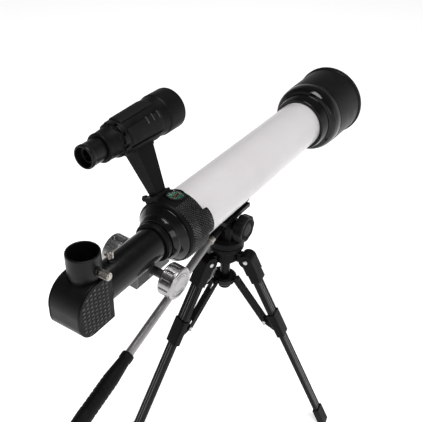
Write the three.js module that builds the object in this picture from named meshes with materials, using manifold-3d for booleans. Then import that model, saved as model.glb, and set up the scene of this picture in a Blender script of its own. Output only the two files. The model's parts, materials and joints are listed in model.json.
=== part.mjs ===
// Small refracting telescope with a right-angle diagonal, on a folding table tripod.
// Millimetres, +Z up. The optical tube points along +Y and +X is the observer's right.
// Everything is drawn about the point on the optical axis under the eyepiece socket,
// then moved so that the origin is the bottom centre of the bounding box.

import * as THREE from "three";
import { mergeVertices } from "three/addons/utils/BufferGeometryUtils.js";
import Module from "manifold-3d";

const wasm = await Module();
wasm.setup();

// ---- driving dimensions -------------------------------------------------
const GAP = 0.3;                 // between pieces that rest on or are cut by each other
const RUN = 0.1;                 // radial clearance where one piece turns or slides in another
const PRESS = 0.05;              // drawn clearance of a pin or disc fixed in its seat

const TUBE_R = 27;               // white tube, outside
const TUBE_WALL = 1.4;
const TUBE_REAR = 113.5;
const TUBE_FRONT = 381.7;
const CELL_REAR = 364;           // lens cell, where the tube enters it
const SHADE_REAR = 395.5;
const SHADE_FRONT = 450;
const SHADE_R = 42.8;            // front lip of the dew shade

const DRAW_R = 15.5;             // drawtube, outside
const DRAW_WALL = 1.5;
const DRAW_REAR = 13;
const DRAW_FRONT = 142;
const COLLAR_REAR = 101;         // widest ring of the focuser housing
const COLLAR_FRONT = 127;
const COLLAR_R = 31.2;

const SOCKET_R = 13.8;           // eyepiece socket
const SOCKET_BORE = 12.3;        // takes a 24.5 mm eyepiece barrel
const SOCKET_TOP = 43.8;
const DIAGONAL_HALF_WIDTH = 14.4;
const COVER_THICKNESS = 1.7;
const NOSE_R = DRAW_R - DRAW_WALL - RUN;
const SCREW_R = 1.5;             // shanks of the small thumbscrews

const PINION_Y = 76.5;
const PINION_Z = -22.8;
const FOCUSER_ROLL = 5;          // degrees that the rack sits round from the bottom of the tube
const TOOTH_MODULE = 0.8;
const PINION_TEETH = 10;
const SHAFT_R = 1.5;
const KNOB_R = 15.4;
const KNOB_LENGTH = 14.5;
const RIGHT_KNOB = 22.3;         // inner face of each knob along the shaft
const LEFT_KNOB = 25.8;

const FINDER_ANGLE = THREE.MathUtils.degToRad(28);   // finder leans to the left of straight up
const FINDER_RADIUS = 95;        // finder axis from the tube axis
const FINDER_REAR = 55;
const FINDER_FRONT = 171;

const TRIPOD_Y = 208.5;            // vertical axis of the tripod and head
const TILT_Y = 204;
const TILT_Z = -46;
const HANDLE_ANGLE = THREE.MathUtils.degToRad(20);   // pan handle slopes down to the rear
const SADDLE_REAR = 128;
const SADDLE_FRONT = 232;
const SADDLE_HALF_WIDTH = 13;
const SADDLE_BOTTOM = -29.6;

const LEG_PIVOT_Z = -91;
const LEG_PIVOT_RADIUS = 25.3;
const LEG_SPLAY = THREE.MathUtils.degToRad(26.8);
const LEG_LENGTH = 240;
// From +Y towards +X. The third leg stands a little nearer the second than the first.
const LEG_AZIMUTHS = [79, 199, 304].map(THREE.MathUtils.degToRad);
const UPPER_LEG = 99;
const COLLAR_TOP = 73;
const COLLAR_BOTTOM = 103;
const BRACKET_DOWN = 83;         // brace rivet, along the leg from its pivot
const BRACKET_IN = 14;           // and inwards from the leg's centre line
const BRACE_HUB_Z = -124;
const BRACE_HUB_REACH = 14.5;

const FINE = 32;                 // facets round large, medium and small turned pieces
const MEDIUM = 24;
const SMALL = 12;

// ---- materials ----------------------------------------------------------
const material = (color, roughness, metalness = 0) =>
  new THREE.MeshStandardMaterial({ color, roughness, metalness });

const WHITE_PAINT = material(0xf1eeec, 0.35);
const GLOSS_BLACK = material(0x0c0c0d, 0.18);
const SATIN_BLACK = material(0x161617, 0.45);
const MATTE_BLACK = material(0x1b1b1c, 0.75);
const CHROME = material(0xd8d8da, 0.12, 1);
const STEEL = material(0xa9aaad, 0.35, 1);
const GREY_METAL = material(0x8b8a8c, 0.4, 0.8);
const LEG_METAL = material(0x222225, 0.4, 0.6);
const RUBBER = material(0x111111, 0.9);
const GLASS = material(0xbfd6d2, 0.05);
const MIRROR = material(0xe6e9ec, 0.03, 1);
const DIAL_GREEN = material(0x2f6a4c, 0.5);
const NEEDLE_RED = material(0xb6372f, 0.4);

// ---- solids and booleans ------------------------------------------------
const { Manifold, Mesh } = wasm;

function signedVolume(positions, indices) {
  const corner = (i) => new THREE.Vector3().fromArray(positions, 3 * indices[i]);
  let volume = 0;
  for (let i = 0; i < indices.length; i += 3) {
    volume += corner(i).dot(corner(i + 1).cross(corner(i + 2))) / 6;
  }
  return volume;
}

// Welds a three.js geometry and hands it over as a solid whose faces point outwards.
function solid(geometry) {
  geometry.deleteAttribute("normal");
  geometry.deleteAttribute("uv");
  const welded = mergeVertices(geometry, 1e-4);
  const positions = new Float32Array(welded.attributes.position.array);
  const triangles = [];
  const source = welded.index.array;
  for (let i = 0; i < source.length; i += 3) {
    const [a, b, c] = [source[i], source[i + 1], source[i + 2]];
    if (a !== b && b !== c && c !== a) triangles.push(a, b, c);
  }
  if (signedVolume(positions, triangles) < 0) {
    for (let i = 0; i < triangles.length; i += 3) {
      [triangles[i + 1], triangles[i + 2]] = [triangles[i + 2], triangles[i + 1]];
    }
  }
  const triVerts = new Uint32Array(triangles);
  return new Manifold(new Mesh({ numProp: 3, vertProperties: positions, triVerts }));
}

const join = (first, ...others) => others.reduce((sum, next) => sum.add(next), first);
const cut = (first, ...others) => others.reduce((rest, next) => rest.subtract(next), first);

// Pieces are turned by moving the three.js geometry before it becomes a solid.
const alongX = (geometry) => geometry.rotateZ(-Math.PI / 2);
const alongZ = (geometry) => geometry.rotateX(Math.PI / 2);

// Turned piece about +Y from [radius, distance along the axis] pairs. A ring's outline is
// closed by repeating its first point; one that starts and ends on the axis is left open.
function turned(profile, facets = MEDIUM) {
  const points = profile.map(([radius, along]) => new THREE.Vector2(radius, along));
  const onAxis = profile[0][0] === 0 && profile[profile.length - 1][0] === 0;
  if (!onAxis) points.push(points[0].clone());
  return new THREE.LatheGeometry(points, facets);
}

const rodProfile = (radius, from, to) => [[0, from], [radius, from], [radius, to], [0, to]];
const tubeProfile = (inner, outer, from, to) =>
  [[inner, from], [outer, from], [outer, to], [inner, to]];

const rodX = (radius, from, to, y, z, facets = SMALL) =>
  solid(alongX(turned(rodProfile(radius, from, to), facets)).translate(0, y, z));
const rodY = (radius, from, to, x, z, facets = SMALL) =>
  solid(turned(rodProfile(radius, from, to), facets).translate(x, 0, z));
const rodZ = (radius, from, to, x, y, facets = SMALL) =>
  solid(alongZ(turned(rodProfile(radius, from, to), facets)).translate(x, y, 0));

function block([x0, y0, z0], [x1, y1, z1]) {
  const box = new THREE.BoxGeometry(x1 - x0, y1 - y0, z1 - z0);
  return solid(box.translate((x0 + x1) / 2, (y0 + y1) / 2, (z0 + z1) / 2));
}

function flatShape(points) {
  return new THREE.Shape(points.map(([u, v]) => new THREE.Vector2(u, v)));
}

function extruded(shape, depth, curveSegments = 8) {
  return new THREE.ExtrudeGeometry(shape, { depth, bevelEnabled: false, curveSegments });
}

// Outline drawn in Y and Z, extruded from x0 to x1.
function sideProfile(shape, x0, x1, curveSegments) {
  const geometry = extruded(shape, x1 - x0, curveSegments);
  geometry.rotateX(Math.PI / 2).rotateZ(Math.PI / 2);
  return solid(geometry.translate(x0, 0, 0));
}

// Outline drawn in X and Z, extruded from y0 to y1.
function endProfile(shape, y0, y1, curveSegments) {
  return solid(extruded(shape, y1 - y0, curveSegments).rotateX(Math.PI / 2).translate(0, y1, 0));
}

// Outline drawn in X and Y, extruded from z0 to z1.
function planProfile(shape, z0, z1, curveSegments) {
  return solid(extruded(shape, z1 - z0, curveSegments).translate(0, 0, z0));
}

// Tapered four-sided pillar between two rectangles given as [x0, x1, y0, y1, z].
function taperedPillar(lower, upper) {
  const ring = ([x0, x1, y0, y1, z]) => [[x0, y0, z], [x1, y0, z], [x1, y1, z], [x0, y1, z]];
  const corners = [...ring(lower), ...ring(upper)].flat();
  const faces = [0, 2, 1, 0, 3, 2, 4, 5, 6, 4, 6, 7];
  for (let side = 0; side < 4; side += 1) {
    const next = (side + 1) % 4;
    faces.push(side, next, next + 4, side, next + 4, side + 4);
  }
  const geometry = new THREE.BufferGeometry();
  geometry.setAttribute("position", new THREE.Float32BufferAttribute(corners, 3));
  geometry.setIndex(faces);
  return solid(geometry);
}

function toMesh(name, shape, surface) {
  const { vertProperties, triVerts } = shape.getMesh();
  const geometry = new THREE.BufferGeometry();
  geometry.setAttribute("position", new THREE.Float32BufferAttribute(vertProperties, 3));
  geometry.setIndex(Array.from(triVerts));
  geometry.computeVertexNormals();
  const mesh = new THREE.Mesh(geometry, surface);
  mesh.name = name;
  return mesh;
}

function assembly(name, pieces) {
  const group = new THREE.Group();
  group.name = name;
  for (const [pieceName, shape, surface] of pieces) group.add(toMesh(pieceName, shape, surface));
  return group;
}

// ---- objective end: tube, lens cell, lens, dew shade --------------------
function mainTube() {
  return solid(turned(tubeProfile(TUBE_R - TUBE_WALL, TUBE_R, TUBE_REAR, TUBE_FRONT), FINE));
}

const LENS_R = 29.7;
const LENS_REAR = 385.5;
const SPIGOT_R = 37;

function lensCell() {
  const bore = TUBE_R + GAP;
  return solid(turned([
    [bore, CELL_REAR], [30.8, CELL_REAR], [33, 376.5], [33, 377.8], [36.6, 378.6],
    [38.8, 382.5], [39.8, 388], [40, SHADE_REAR - GAP], [SPIGOT_R, SHADE_REAR - GAP],
    [SPIGOT_R, 403], [33, 403], [33, 391.3], [LENS_R + GAP, 391.3], [LENS_R + GAP, 385],
    [26, 385], [26, TUBE_FRONT + GAP], [bore, TUBE_FRONT + GAP],
  ], FINE));
}

// Bulging disc between two shallow curves; edge faces at y0 and y1.
function lensShape(radius, y0, y1, bulge0, bulge1, facets = MEDIUM) {
  const rings = 3;
  const profile = [];
  for (let i = 0; i <= rings; i += 1) {
    const r = (radius * i) / rings;
    profile.push([r, y0 - bulge0 * (1 - (r / radius) ** 2)]);
  }
  for (let i = rings; i >= 0; i -= 1) {
    const r = (radius * i) / rings;
    profile.push([r, y1 + bulge1 * (1 - (r / radius) ** 2)]);
  }
  return turned(profile, facets);
}

const objectiveLens = () => solid(lensShape(LENS_R, LENS_REAR, LENS_REAR + 3.6, 1.6, 2, FINE));

function dewShade() {
  return solid(turned([
    [SPIGOT_R + RUN, SHADE_REAR], [40.2, SHADE_REAR], [41, 446.5], [SHADE_R, 447],
    [SHADE_R, SHADE_FRONT], [40.6, SHADE_FRONT], [39.4, 404.5], [SPIGOT_R + RUN, 403.5],
  ], FINE));
}

// ---- focuser housing and compass ---------------------------------------
const RACK_HALF_WIDTH = 2.4;
const RACK_SLOT = 3.3;           // half width of the slot that lets the rack through

const HOUSING_OUTER = [
  [21, 88.3], [22, 90], [22.4, 94.3], [24, 94.5], [25, 96], [26.4, 100.8],
  [28.6, COLLAR_REAR], [30, 102.5], [30.3, 104.2], [COLLAR_R, COLLAR_FRONT],
];

const COMPASS_Y = 118.5;
const COMPASS_R = 7.6;
const COMPASS_RIM = 1.1;
const COMPASS_FLOOR = 28.9;
const COMPASS_TOP = 32.3;

function housingEnvelope(grow) {
  const outer = HOUSING_OUTER.map(([radius, along]) => [radius + grow, along]);
  outer[0][1] -= grow;
  outer[outer.length - 1][1] += grow;
  const first = outer[0];
  const last = outer[outer.length - 1];
  return solid(turned([[0, first[1]], ...outer, [0, last[1]]], FINE));
}

// Turns the rack, its slot, the pinion and the knobs round the tube axis together.
const rolled = (shape) => shape.rotate([0, FOCUSER_ROLL, 0]);

// Raised clamp pad that laps over the tube on the right of the collar.
function clampPad() {
  const from = THREE.MathUtils.degToRad(-4);
  const to = THREE.MathUtils.degToRad(40);
  const inner = TUBE_R - 1;
  const outer = COLLAR_R + 2.4;
  const shape = new THREE.Shape();
  shape.absarc(0, 0, outer, from, to, false);
  shape.absarc(0, 0, inner, to, from, true);
  return endProfile(shape, COLLAR_FRONT - 9, COLLAR_FRONT + 5.5, 10);
}

function focuserHousing() {
  const tubeBore = TUBE_R + GAP;
  const inside = solid(turned([
    [0, 80], [DRAW_R + RUN, 80], [DRAW_R + RUN, 98], [20, 98], [20, TUBE_REAR - GAP],
    [tubeBore, TUBE_REAR - GAP], [tubeBore, 140], [0, 140],
  ], FINE));
  const compassBoss = rodZ(COMPASS_R + COMPASS_RIM, 24, COMPASS_TOP, 0, COMPASS_Y, 24);
  const compassSeat = rodZ(COMPASS_R + RUN, COMPASS_FLOOR, COMPASS_TOP + 1, 0, COMPASS_Y, 24);
  const rackSlot = rolled(block([-RACK_SLOT, 80, -20.7], [RACK_SLOT, TUBE_REAR, -10]));
  return cut(join(housingEnvelope(0), compassBoss, clampPad()), inside, compassSeat, rackSlot);
}

function stopRing() {
  const ring = solid(turned([
    [DRAW_R + RUN, 82], [17.6, 82], [18.6, 83], [18.6, 88], [DRAW_R + RUN, 88],
  ], FINE));
  return cut(ring, rolled(block([-RACK_SLOT, 80, -24], [RACK_SLOT, 90, -10])));
}

function compassDial() {
  const floor = COMPASS_FLOOR + RUN;
  const dial = rodZ(COMPASS_R, floor, floor + 0.7, 0, COMPASS_Y, 24);
  return join(dial, rodZ(0.5, floor, floor + 1.5, 0, COMPASS_Y, 12));
}

function compassNeedle() {
  const halfLength = 6;
  const shape = flatShape([[0, -halfLength], [1.3, 0], [0, halfLength], [-1.3, 0]]);
  const blade = planProfile(shape, 0, 0.4);
  const pivotHole = rodZ(0.6, -1, 2, 0, 0, 12);
  return cut(blade, pivotHole).translate([0, COMPASS_Y, COMPASS_FLOOR + 1.1]);
}

const compassGlass = () =>
  rodZ(COMPASS_R, COMPASS_TOP - 0.9, COMPASS_TOP - 0.1, 0, COMPASS_Y, 24);

// ---- drawtube, rack and pinion, focus knobs ----------------------------
const NOSE_SCREW_Y = 29;
const NOSE_FRONT = 35;

function drawtube() {
  const tube = solid(turned(tubeProfile(DRAW_R - DRAW_WALL, DRAW_R, DRAW_REAR, DRAW_FRONT), FINE));
  const boss = cut(
    rodZ(3.4, DRAW_R - 1, DRAW_R + 1.8, 0, NOSE_SCREW_Y),
    rodY(DRAW_R - 0.5, NOSE_SCREW_Y - 8, NOSE_SCREW_Y + 8, 0, 0, FINE),
  );
  return cut(join(tube, boss), rodZ(SCREW_R + RUN, 10, 20, 0, NOSE_SCREW_Y));
}

const TOOTH_PITCH = Math.PI * TOOTH_MODULE;
const PITCH_RADIUS = (PINION_TEETH * TOOTH_MODULE) / 2;
const RACK_PITCH_Z = PINION_Z + PITCH_RADIUS;

// Rack under the drawtube; a gap between two teeth faces the pinion's top tooth.
function focusRack() {
  const teeth = 28;
  const rear = PINION_Y - 20 * TOOTH_PITCH;
  const top = -DRAW_R - 0.25;
  const root = RACK_PITCH_Z + 0.9;
  const tip = RACK_PITCH_Z - 0.75;
  const points = [[rear, top], [rear, root]];
  for (let i = 0; i < teeth; i += 1) {
    const middle = rear + (i + 0.5) * TOOTH_PITCH;
    points.push([middle - 0.8, root], [middle - 0.3, tip], [middle + 0.3, tip], [middle + 0.8, root]);
  }
  points.push([rear + teeth * TOOTH_PITCH, root], [rear + teeth * TOOTH_PITCH, top]);
  return rolled(sideProfile(flatShape(points), -RACK_HALF_WIDTH, RACK_HALF_WIDTH));
}

// Pinion and its shaft are one moulding; each tooth is a narrow trapezium.
function pinionShaft() {
  const rootRadius = PITCH_RADIUS - 1.0;
  const tipRadius = PITCH_RADIUS + 0.65;
  const points = [];
  for (let i = 0; i < PINION_TEETH; i += 1) {
    const middle = Math.PI / 2 + (i * 2 * Math.PI) / PINION_TEETH;
    const corner = (radius, half) => {
      const angle = middle + half / radius;
      return [PINION_Y + radius * Math.cos(angle), PINION_Z + radius * Math.sin(angle)];
    };
    points.push(corner(rootRadius, -0.7), corner(tipRadius, -0.2));
    points.push(corner(tipRadius, 0.2), corner(rootRadius, 0.7));
  }
  const pinion = sideProfile(flatShape(points), -2.3, 2.3);
  const left = 1.4 - LEFT_KNOB - KNOB_LENGTH;
  const right = RIGHT_KNOB + KNOB_LENGTH - 1.4;
  return rolled(join(pinion, rodX(SHAFT_R, left, right, PINION_Y, PINION_Z)));
}

function pinionHousing() {
  const rear = 53.3;
  const front = 100.5;
  const bottom = -29.5;
  const top = -15.9;
  const half = 5;
  const rightFace = 7.4;
  const shell = block([-half, rear, bottom], [rightFace, front, top]);
  const bosses = [-1, 1].map((side) => {
    const ends = side > 0 ? [rightFace - 0.5, RIGHT_KNOB - 1] : [1 - LEFT_KNOB, 0.5 - half];
    return rodX(4.2, ends[0], ends[1], PINION_Y, PINION_Z, 24);
  });
  const channel = block([-RACK_SLOT, rear + 1.5, bottom + 1.4], [RACK_SLOT, front + 1, top + 1]);
  const rackWindow = block([-RACK_SLOT, rear - 1, -20.8], [RACK_SLOT, rear + 2, top + 1]);
  const shaftHole = rodX(SHAFT_R + 0.06, -LEFT_KNOB, RIGHT_KNOB, PINION_Y, PINION_Z, 24);
  const ringClearance = rodY(18.6 + GAP, 81.7, 90, 0, 0, FINE);
  return rolled(cut(join(shell, ...bosses), channel, rackWindow, shaftHole, ringClearance,
    housingEnvelope(GAP)));
}

// Knob with ten scooped panels behind a plain front rim; side is +1 right or -1 left.
function focusKnob(side) {
  const bore = SHAFT_R + PRESS;
  const inner = side > 0 ? RIGHT_KNOB : LEFT_KNOB;
  const outer = inner + KNOB_LENGTH;
  const profile = [
    [bore, inner], [14.4, inner], [KNOB_R, inner + 1], [KNOB_R, outer - 1],
    [14.4, outer], [12.2, outer], [11.6, outer - 1.1], [8.6, outer - 1.1],
    [8.2, outer - 0.4], [0, outer - 0.4], [0, outer - 1.3], [bore, outer - 1.3],
  ];
  const points = profile.map(([radius, along]) => new THREE.Vector2(radius, along));
  points.push(points[0].clone());
  let knob = solid(alongX(new THREE.LatheGeometry(points, 30)));
  const panels = 10;
  for (let i = 0; i < panels; i += 1) {
    const angle = (i * 2 * Math.PI) / panels;
    const reach = KNOB_R + 6.1;
    const scoop = rodX(7, inner + 1.6, outer - 2.6,
      reach * Math.cos(angle), reach * Math.sin(angle), 20);
    knob = knob.subtract(scoop);
  }
  const placed = side > 0 ? knob : knob.mirror([1, 0, 0]);
  return rolled(placed.translate([0, PINION_Y, PINION_Z]));
}

// ---- diagonal -----------------------------------------------------------
const DIAGONAL_FRONT = 12;
const DIAGONAL_BOTTOM = -23;
const DIAGONAL_TOP = 22;

function diagonalOutline() {
  const crownY = -4.6;
  const crownRadius = 22;
  const heelY = -12;
  const heelRadius = 14.6;
  const heelZ = DIAGONAL_BOTTOM + heelRadius;
  const shape = new THREE.Shape();
  shape.moveTo(DIAGONAL_FRONT, DIAGONAL_BOTTOM);
  shape.lineTo(DIAGONAL_FRONT, DIAGONAL_TOP - 1.5);
  shape.lineTo(DIAGONAL_FRONT - 1.5, DIAGONAL_TOP);
  shape.absarc(crownY, DIAGONAL_TOP - crownRadius, crownRadius, Math.PI / 2, Math.PI, false);
  shape.absarc(heelY, heelZ, heelRadius, Math.PI, 1.5 * Math.PI, false);
  shape.lineTo(DIAGONAL_FRONT, DIAGONAL_BOTTOM);
  return shape;
}

const MIRROR_BACK = -3.8;        // y + z on the seat behind the mirror
const LIGHT_BORE = 11.4;

function diagonalBody() {
  const half = DIAGONAL_HALF_WIDTH;
  const outside = sideProfile(diagonalOutline(), -half, half, 12);
  const nose = rodY(NOSE_R, DIAGONAL_FRONT - 1, NOSE_FRONT, 0, 0, FINE);
  const chamber = sideProfile(flatShape([
    [9, 17.5], [-13, 17.5], [-17.6, 13.8], [9, MIRROR_BACK - 9],
  ]), -half - 1, half + 1);
  const lightIn = rodY(LIGHT_BORE, 0, NOSE_FRONT + 1, 0, 0, MEDIUM);
  const lightUp = rodZ(LIGHT_BORE, 5, 19.2, 0, 0, MEDIUM);
  const socketSeat = rodZ(SOCKET_R - 0.4 + RUN, 19, 40, 0, 0, FINE);
  return cut(join(outside, nose), chamber, lightIn, lightUp, socketSeat);
}

function diagonalCover(side) {
  const inner = DIAGONAL_HALF_WIDTH + 0.15;
  const outer = inner + COVER_THICKNESS;
  return sideProfile(diagonalOutline(), side > 0 ? inner : -outer, side > 0 ? outer : -inner, 12);
}

function diagonalMirror() {
  const seat = MIRROR_BACK + 0.15;
  const face = seat + 3;
  const half = DIAGONAL_HALF_WIDTH - 0.3;
  return sideProfile(flatShape([
    [8.7, seat - 8.7], [8.7, face - 8.7], [-14.5, face + 14.5], [-16.3, seat + 16.3],
  ]), -half, half);
}

const EYEPIECE_SCREW_Z = 30.5;

function eyepieceSocket() {
  const tube = solid(alongZ(turned([
    [SOCKET_BORE, 19.2], [SOCKET_R - 0.4, 19.2], [SOCKET_R - 0.4, 22.6], [SOCKET_R, 23.4],
    [SOCKET_R, SOCKET_TOP - 0.8], [SOCKET_R - 0.5, SOCKET_TOP], [SOCKET_BORE + 0.3, SOCKET_TOP],
    [SOCKET_BORE, SOCKET_TOP - 0.5],
  ], FINE)));
  const boss = cut(rodX(4, 12.8, SOCKET_R + 1.6, 0, EYEPIECE_SCREW_Z, 20),
    rodZ(SOCKET_BORE + 0.4, 20, 42, 0, 0, FINE));
  return cut(join(tube, boss), rodX(SCREW_R + RUN, 10, 18, 0, EYEPIECE_SCREW_Z));
}

// Knurled thumbscrew along +Y: shank from y = 0, head beyond it.
function thumbscrew(shankLength, headRadius, headLength, ridges) {
  const points = [];
  for (let i = 0; i < 2 * ridges; i += 1) {
    const radius = i % 2 ? headRadius : headRadius - 0.45;
    const angle = (i * Math.PI) / ridges;
    points.push([radius * Math.cos(angle), radius * Math.sin(angle)]);
  }
  const head = endProfile(flatShape(points), shankLength, shankLength + headLength);
  const neck = rodY(headRadius - 1.2, shankLength - 0.8, shankLength + headLength + 0.6, 0, 0);
  return join(rodY(SCREW_R, 0, shankLength, 0, 0), neck, head);
}

const eyepieceScrew = () =>
  thumbscrew(4.4, 3.5, 8.6, 14).rotate([0, 0, -90]).translate([12.4, 0, EYEPIECE_SCREW_Z]);
const nosepieceScrew = () =>
  thumbscrew(3.5, 3, 6.2, 12).rotate([90, 0, 0]).translate([0, NOSE_SCREW_Y, 14.9]);

// ---- finder -------------------------------------------------------------
const FINDER_X = -FINDER_RADIUS * Math.sin(FINDER_ANGLE);
const FINDER_Z = FINDER_RADIUS * Math.cos(FINDER_ANGLE);
const atFinder = (geometry) => solid(geometry.translate(FINDER_X, 0, FINDER_Z));

function finderBody() {
  return atFinder(turned([
    [13.2, 93.5], [15.4, 93.5], [16.2, 95], [16.8, 112], [18.2, 140], [18.8, 148.5],
    [19.6, 149.6], [19.6, 170], [19, FINDER_FRONT], [18, FINDER_FRONT], [18, 157.5],
    [16.4, 157.5], [14, 112], [13.2, 112],
  ], MEDIUM));
}

const EYE_TUBE_R = 10.3;

function finderRearBarrel() {
  return atFinder(turned([
    [EYE_TUBE_R + RUN, 73], [12.4, 73], [13.2, 73.8], [13.2, 76.2], [12.9, 77], [13.7, 88],
    [14.8, 88.3], [14.8, 93.2], [13.1, 93.4], [13.1, 108], [EYE_TUBE_R + RUN, 108],
  ], MEDIUM));
}

function finderEyepiece() {
  return atFinder(turned([
    [9, FINDER_REAR], [10.2, FINDER_REAR], [10.8, 56], [10.8, 58.2], [EYE_TUBE_R, 60],
    [EYE_TUBE_R, 100], [8.8, 100], [8.8, 66.3], [8.2, 66.3], [8.2, 65.2], [9, 62],
  ], MEDIUM));
}

const finderEyeLens = () => atFinder(lensShape(8.6, 66.6, 68.6, 0.5, 1, 24));
const finderObjective = () => atFinder(lensShape(17.7, 158, 160.4, 0.3, 1.6, MEDIUM));

// The stalk is drawn upright over the tube axis, then leaned over with the finder.
function finderStalk() {
  const foot = block([-8.5, 103, 28], [7, 123, 34.6]);
  const pillar = taperedPillar([-4.6, 4.6, 107.5, 120, 34], [-8.5, 8.5, 103.5, 127, 84]);
  const cradle = block([-9, 103.8, 76], [9, 126.2, 87]);
  const finderRoom = rodY(17.5 + GAP, 90, 140, 0, FINDER_RADIUS, FINE);
  const compassRoom = rodZ(COMPASS_R + COMPASS_RIM + GAP, 20, 36, 0, COMPASS_Y, 24);
  const upright = cut(join(foot, pillar, cradle), finderRoom, housingEnvelope(GAP));
  return cut(upright.rotate([0, -THREE.MathUtils.radToDeg(FINDER_ANGLE), 0]), compassRoom);
}

const CLAMP_SCREW_Y = 109;

function finderClampScrew() {
  const screw = thumbscrew(2.2, 3, 4.2, 10).rotate([0, 0, 90]);
  return screw.translate([-8.8, CLAMP_SCREW_Y, 32.6])
    .rotate([0, -THREE.MathUtils.radToDeg(FINDER_ANGLE), 0]);
}

// ---- saddle and pan-tilt head ------------------------------------------
function saddleBar() {
  const half = SADDLE_HALF_WIDTH;
  const edge = Math.asin(half / (TUBE_R + GAP));
  const shape = new THREE.Shape();
  shape.moveTo(-half, SADDLE_BOTTOM);
  shape.lineTo(half, SADDLE_BOTTOM);
  shape.absarc(0, 0, TUBE_R + GAP, edge - Math.PI / 2, -edge - Math.PI / 2, true);
  shape.lineTo(-half, SADDLE_BOTTOM);
  return endProfile(shape, SADDLE_REAR, SADDLE_FRONT, 12);
}

const PLATFORM_TOP = SADDLE_BOTTOM - GAP;
const LUG_HALF = 5.8;
const TILT_BOLT_R = 3;
const HANDLE_ROOT = 14;          // handle socket from the tilt axis

// Solid drawn about +Y from the tilt axis, swung round to run down the handle.
function alongHandle(shape) {
  const lift = THREE.MathUtils.radToDeg(HANDLE_ANGLE);
  return shape.rotate([0, 0, 180]).rotate([lift, 0, 0]).translate([0, TILT_Y, TILT_Z + 3]);
}

function headPlatform() {
  const plate = block([-16, 181, PLATFORM_TOP - 4.5], [16, 228, PLATFORM_TOP]);
  const lugTop = block([-LUG_HALF, TILT_Y - 10, TILT_Z], [LUG_HALF, TILT_Y + 10, PLATFORM_TOP - 4]);
  const lugRound = rodX(10, -LUG_HALF, LUG_HALF, TILT_Y, TILT_Z, MEDIUM);
  const handleSocket = alongHandle(rodY(5.6, 4, HANDLE_ROOT + 12, 0, 0, 24));
  const rodHole = alongHandle(rodY(4.2 + RUN, HANDLE_ROOT, HANDLE_ROOT + 13, 0, 0, 24));
  const tiltHole = rodX(TILT_BOLT_R + RUN, -20, 20, TILT_Y, TILT_Z, 24);
  return cut(join(plate, lugTop, lugRound, handleSocket), rodHole, tiltHole);
}

const HEAD_BASE_Z = LEG_PIVOT_Z + 18;

const HEAD_BASE_TOP = HEAD_BASE_Z + 10;
const HEAD_BASE_R = 20;
const FORK_INNER = LUG_HALF + 0.4;
const FORK_OUTER = 12;
const FORK_EAR_R = 8;
const HEAD_PIVOT_R = 5;
const HEAD_PIVOT_LENGTH = 14;

function headFork() {
  const base = solid(alongZ(turned([
    [0, HEAD_BASE_Z], [HEAD_BASE_R, HEAD_BASE_Z], [HEAD_BASE_R, HEAD_BASE_TOP - 3.5],
    [HEAD_BASE_R - 3, HEAD_BASE_TOP], [0, HEAD_BASE_TOP],
  ], FINE)).translate(0, TRIPOD_Y, 0));
  const ears = [[-FORK_OUTER, -FORK_INNER], [FORK_INNER, FORK_OUTER]].map(([x0, x1]) => {
    const cheek = block([x0, TILT_Y - FORK_EAR_R, HEAD_BASE_TOP - 1],
      [x1, TILT_Y + FORK_EAR_R, TILT_Z]);
    return join(cheek, rodX(FORK_EAR_R, x0, x1, TILT_Y, TILT_Z, 24));
  });
  const pivot = rodZ(HEAD_PIVOT_R, HEAD_BASE_Z - HEAD_PIVOT_LENGTH, HEAD_BASE_Z + 1,
    0, TRIPOD_Y, 24);
  const tiltHole = rodX(TILT_BOLT_R + RUN, -20, 20, TILT_Y, TILT_Z, 24);
  return cut(join(base, ...ears, pivot), tiltHole);
}

// Hex-headed bolt through the fork and the platform's lug; the knob screws onto its end.
const TILT_BOLT_END = 25;

function tiltBolt() {
  const shank = rodX(TILT_BOLT_R, -FORK_OUTER - 0.6, TILT_BOLT_END, TILT_Y, TILT_Z, 24);
  return join(shank, rodX(5.2, -FORK_OUTER - 3.4, -FORK_OUTER - 0.4, TILT_Y, TILT_Z, 6));
}

function tiltKnob() {
  const knobInner = 17.5;
  const knobOuter = 28;
  const lobes = 8;
  const points = [];
  const facets = 32;
  for (let i = 0; i < facets; i += 1) {
    const angle = (i * 2 * Math.PI) / facets;
    const radius = 14.4 + 0.5 * Math.cos(lobes * angle);
    points.push([TILT_Y + radius * Math.cos(angle), TILT_Z + radius * Math.sin(angle)]);
  }
  const grip = sideProfile(flatShape(points), knobInner, knobOuter);
  const faceDish = cut(
    rodX(11.4, knobOuter - 0.8, knobOuter + 1, TILT_Y, TILT_Z, MEDIUM),
    rodX(7.4, knobOuter - 2, knobOuter + 2, TILT_Y, TILT_Z, 24),
  );
  const collar = rodX(6, FORK_OUTER + 0.4, knobInner + 0.5, TILT_Y, TILT_Z, 24);
  const boltHole = rodX(TILT_BOLT_R + RUN, FORK_OUTER, TILT_BOLT_END + GAP, TILT_Y, TILT_Z, 24);
  return cut(join(grip, collar), faceDish, boltHole);
}

const HANDLE_LENGTH = 172;
const GRIP_LENGTH = 88;

const handleRod = () =>
  alongHandle(rodY(4.2, HANDLE_ROOT + 0.5, HANDLE_LENGTH + 20, 0, 0, 20));

function handleGrip() {
  const start = HANDLE_LENGTH;
  const end = HANDLE_LENGTH + GRIP_LENGTH;
  return alongHandle(solid(turned([
    [4.2 + PRESS, start], [5.6, start], [6.3, start + 1.5], [6.3, start + 7], [5.7, start + 8],
    [7.4, start + 28], [7.8, start + 60], [7, end - 6], [5, end - 1], [0, end],
    [0, start + 20.3], [4.2 + PRESS, start + 20.3],
  ], 24)));
}

// ---- tripod hub ---------------------------------------------------------
// Solid drawn with +Y outwards and its origin on the tripod axis, swung to one leg.
function toAzimuth(shape, index) {
  return shape.rotate([0, 0, -THREE.MathUtils.radToDeg(LEG_AZIMUTHS[index])])
    .translate([0, TRIPOD_Y, 0]);
}

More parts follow.
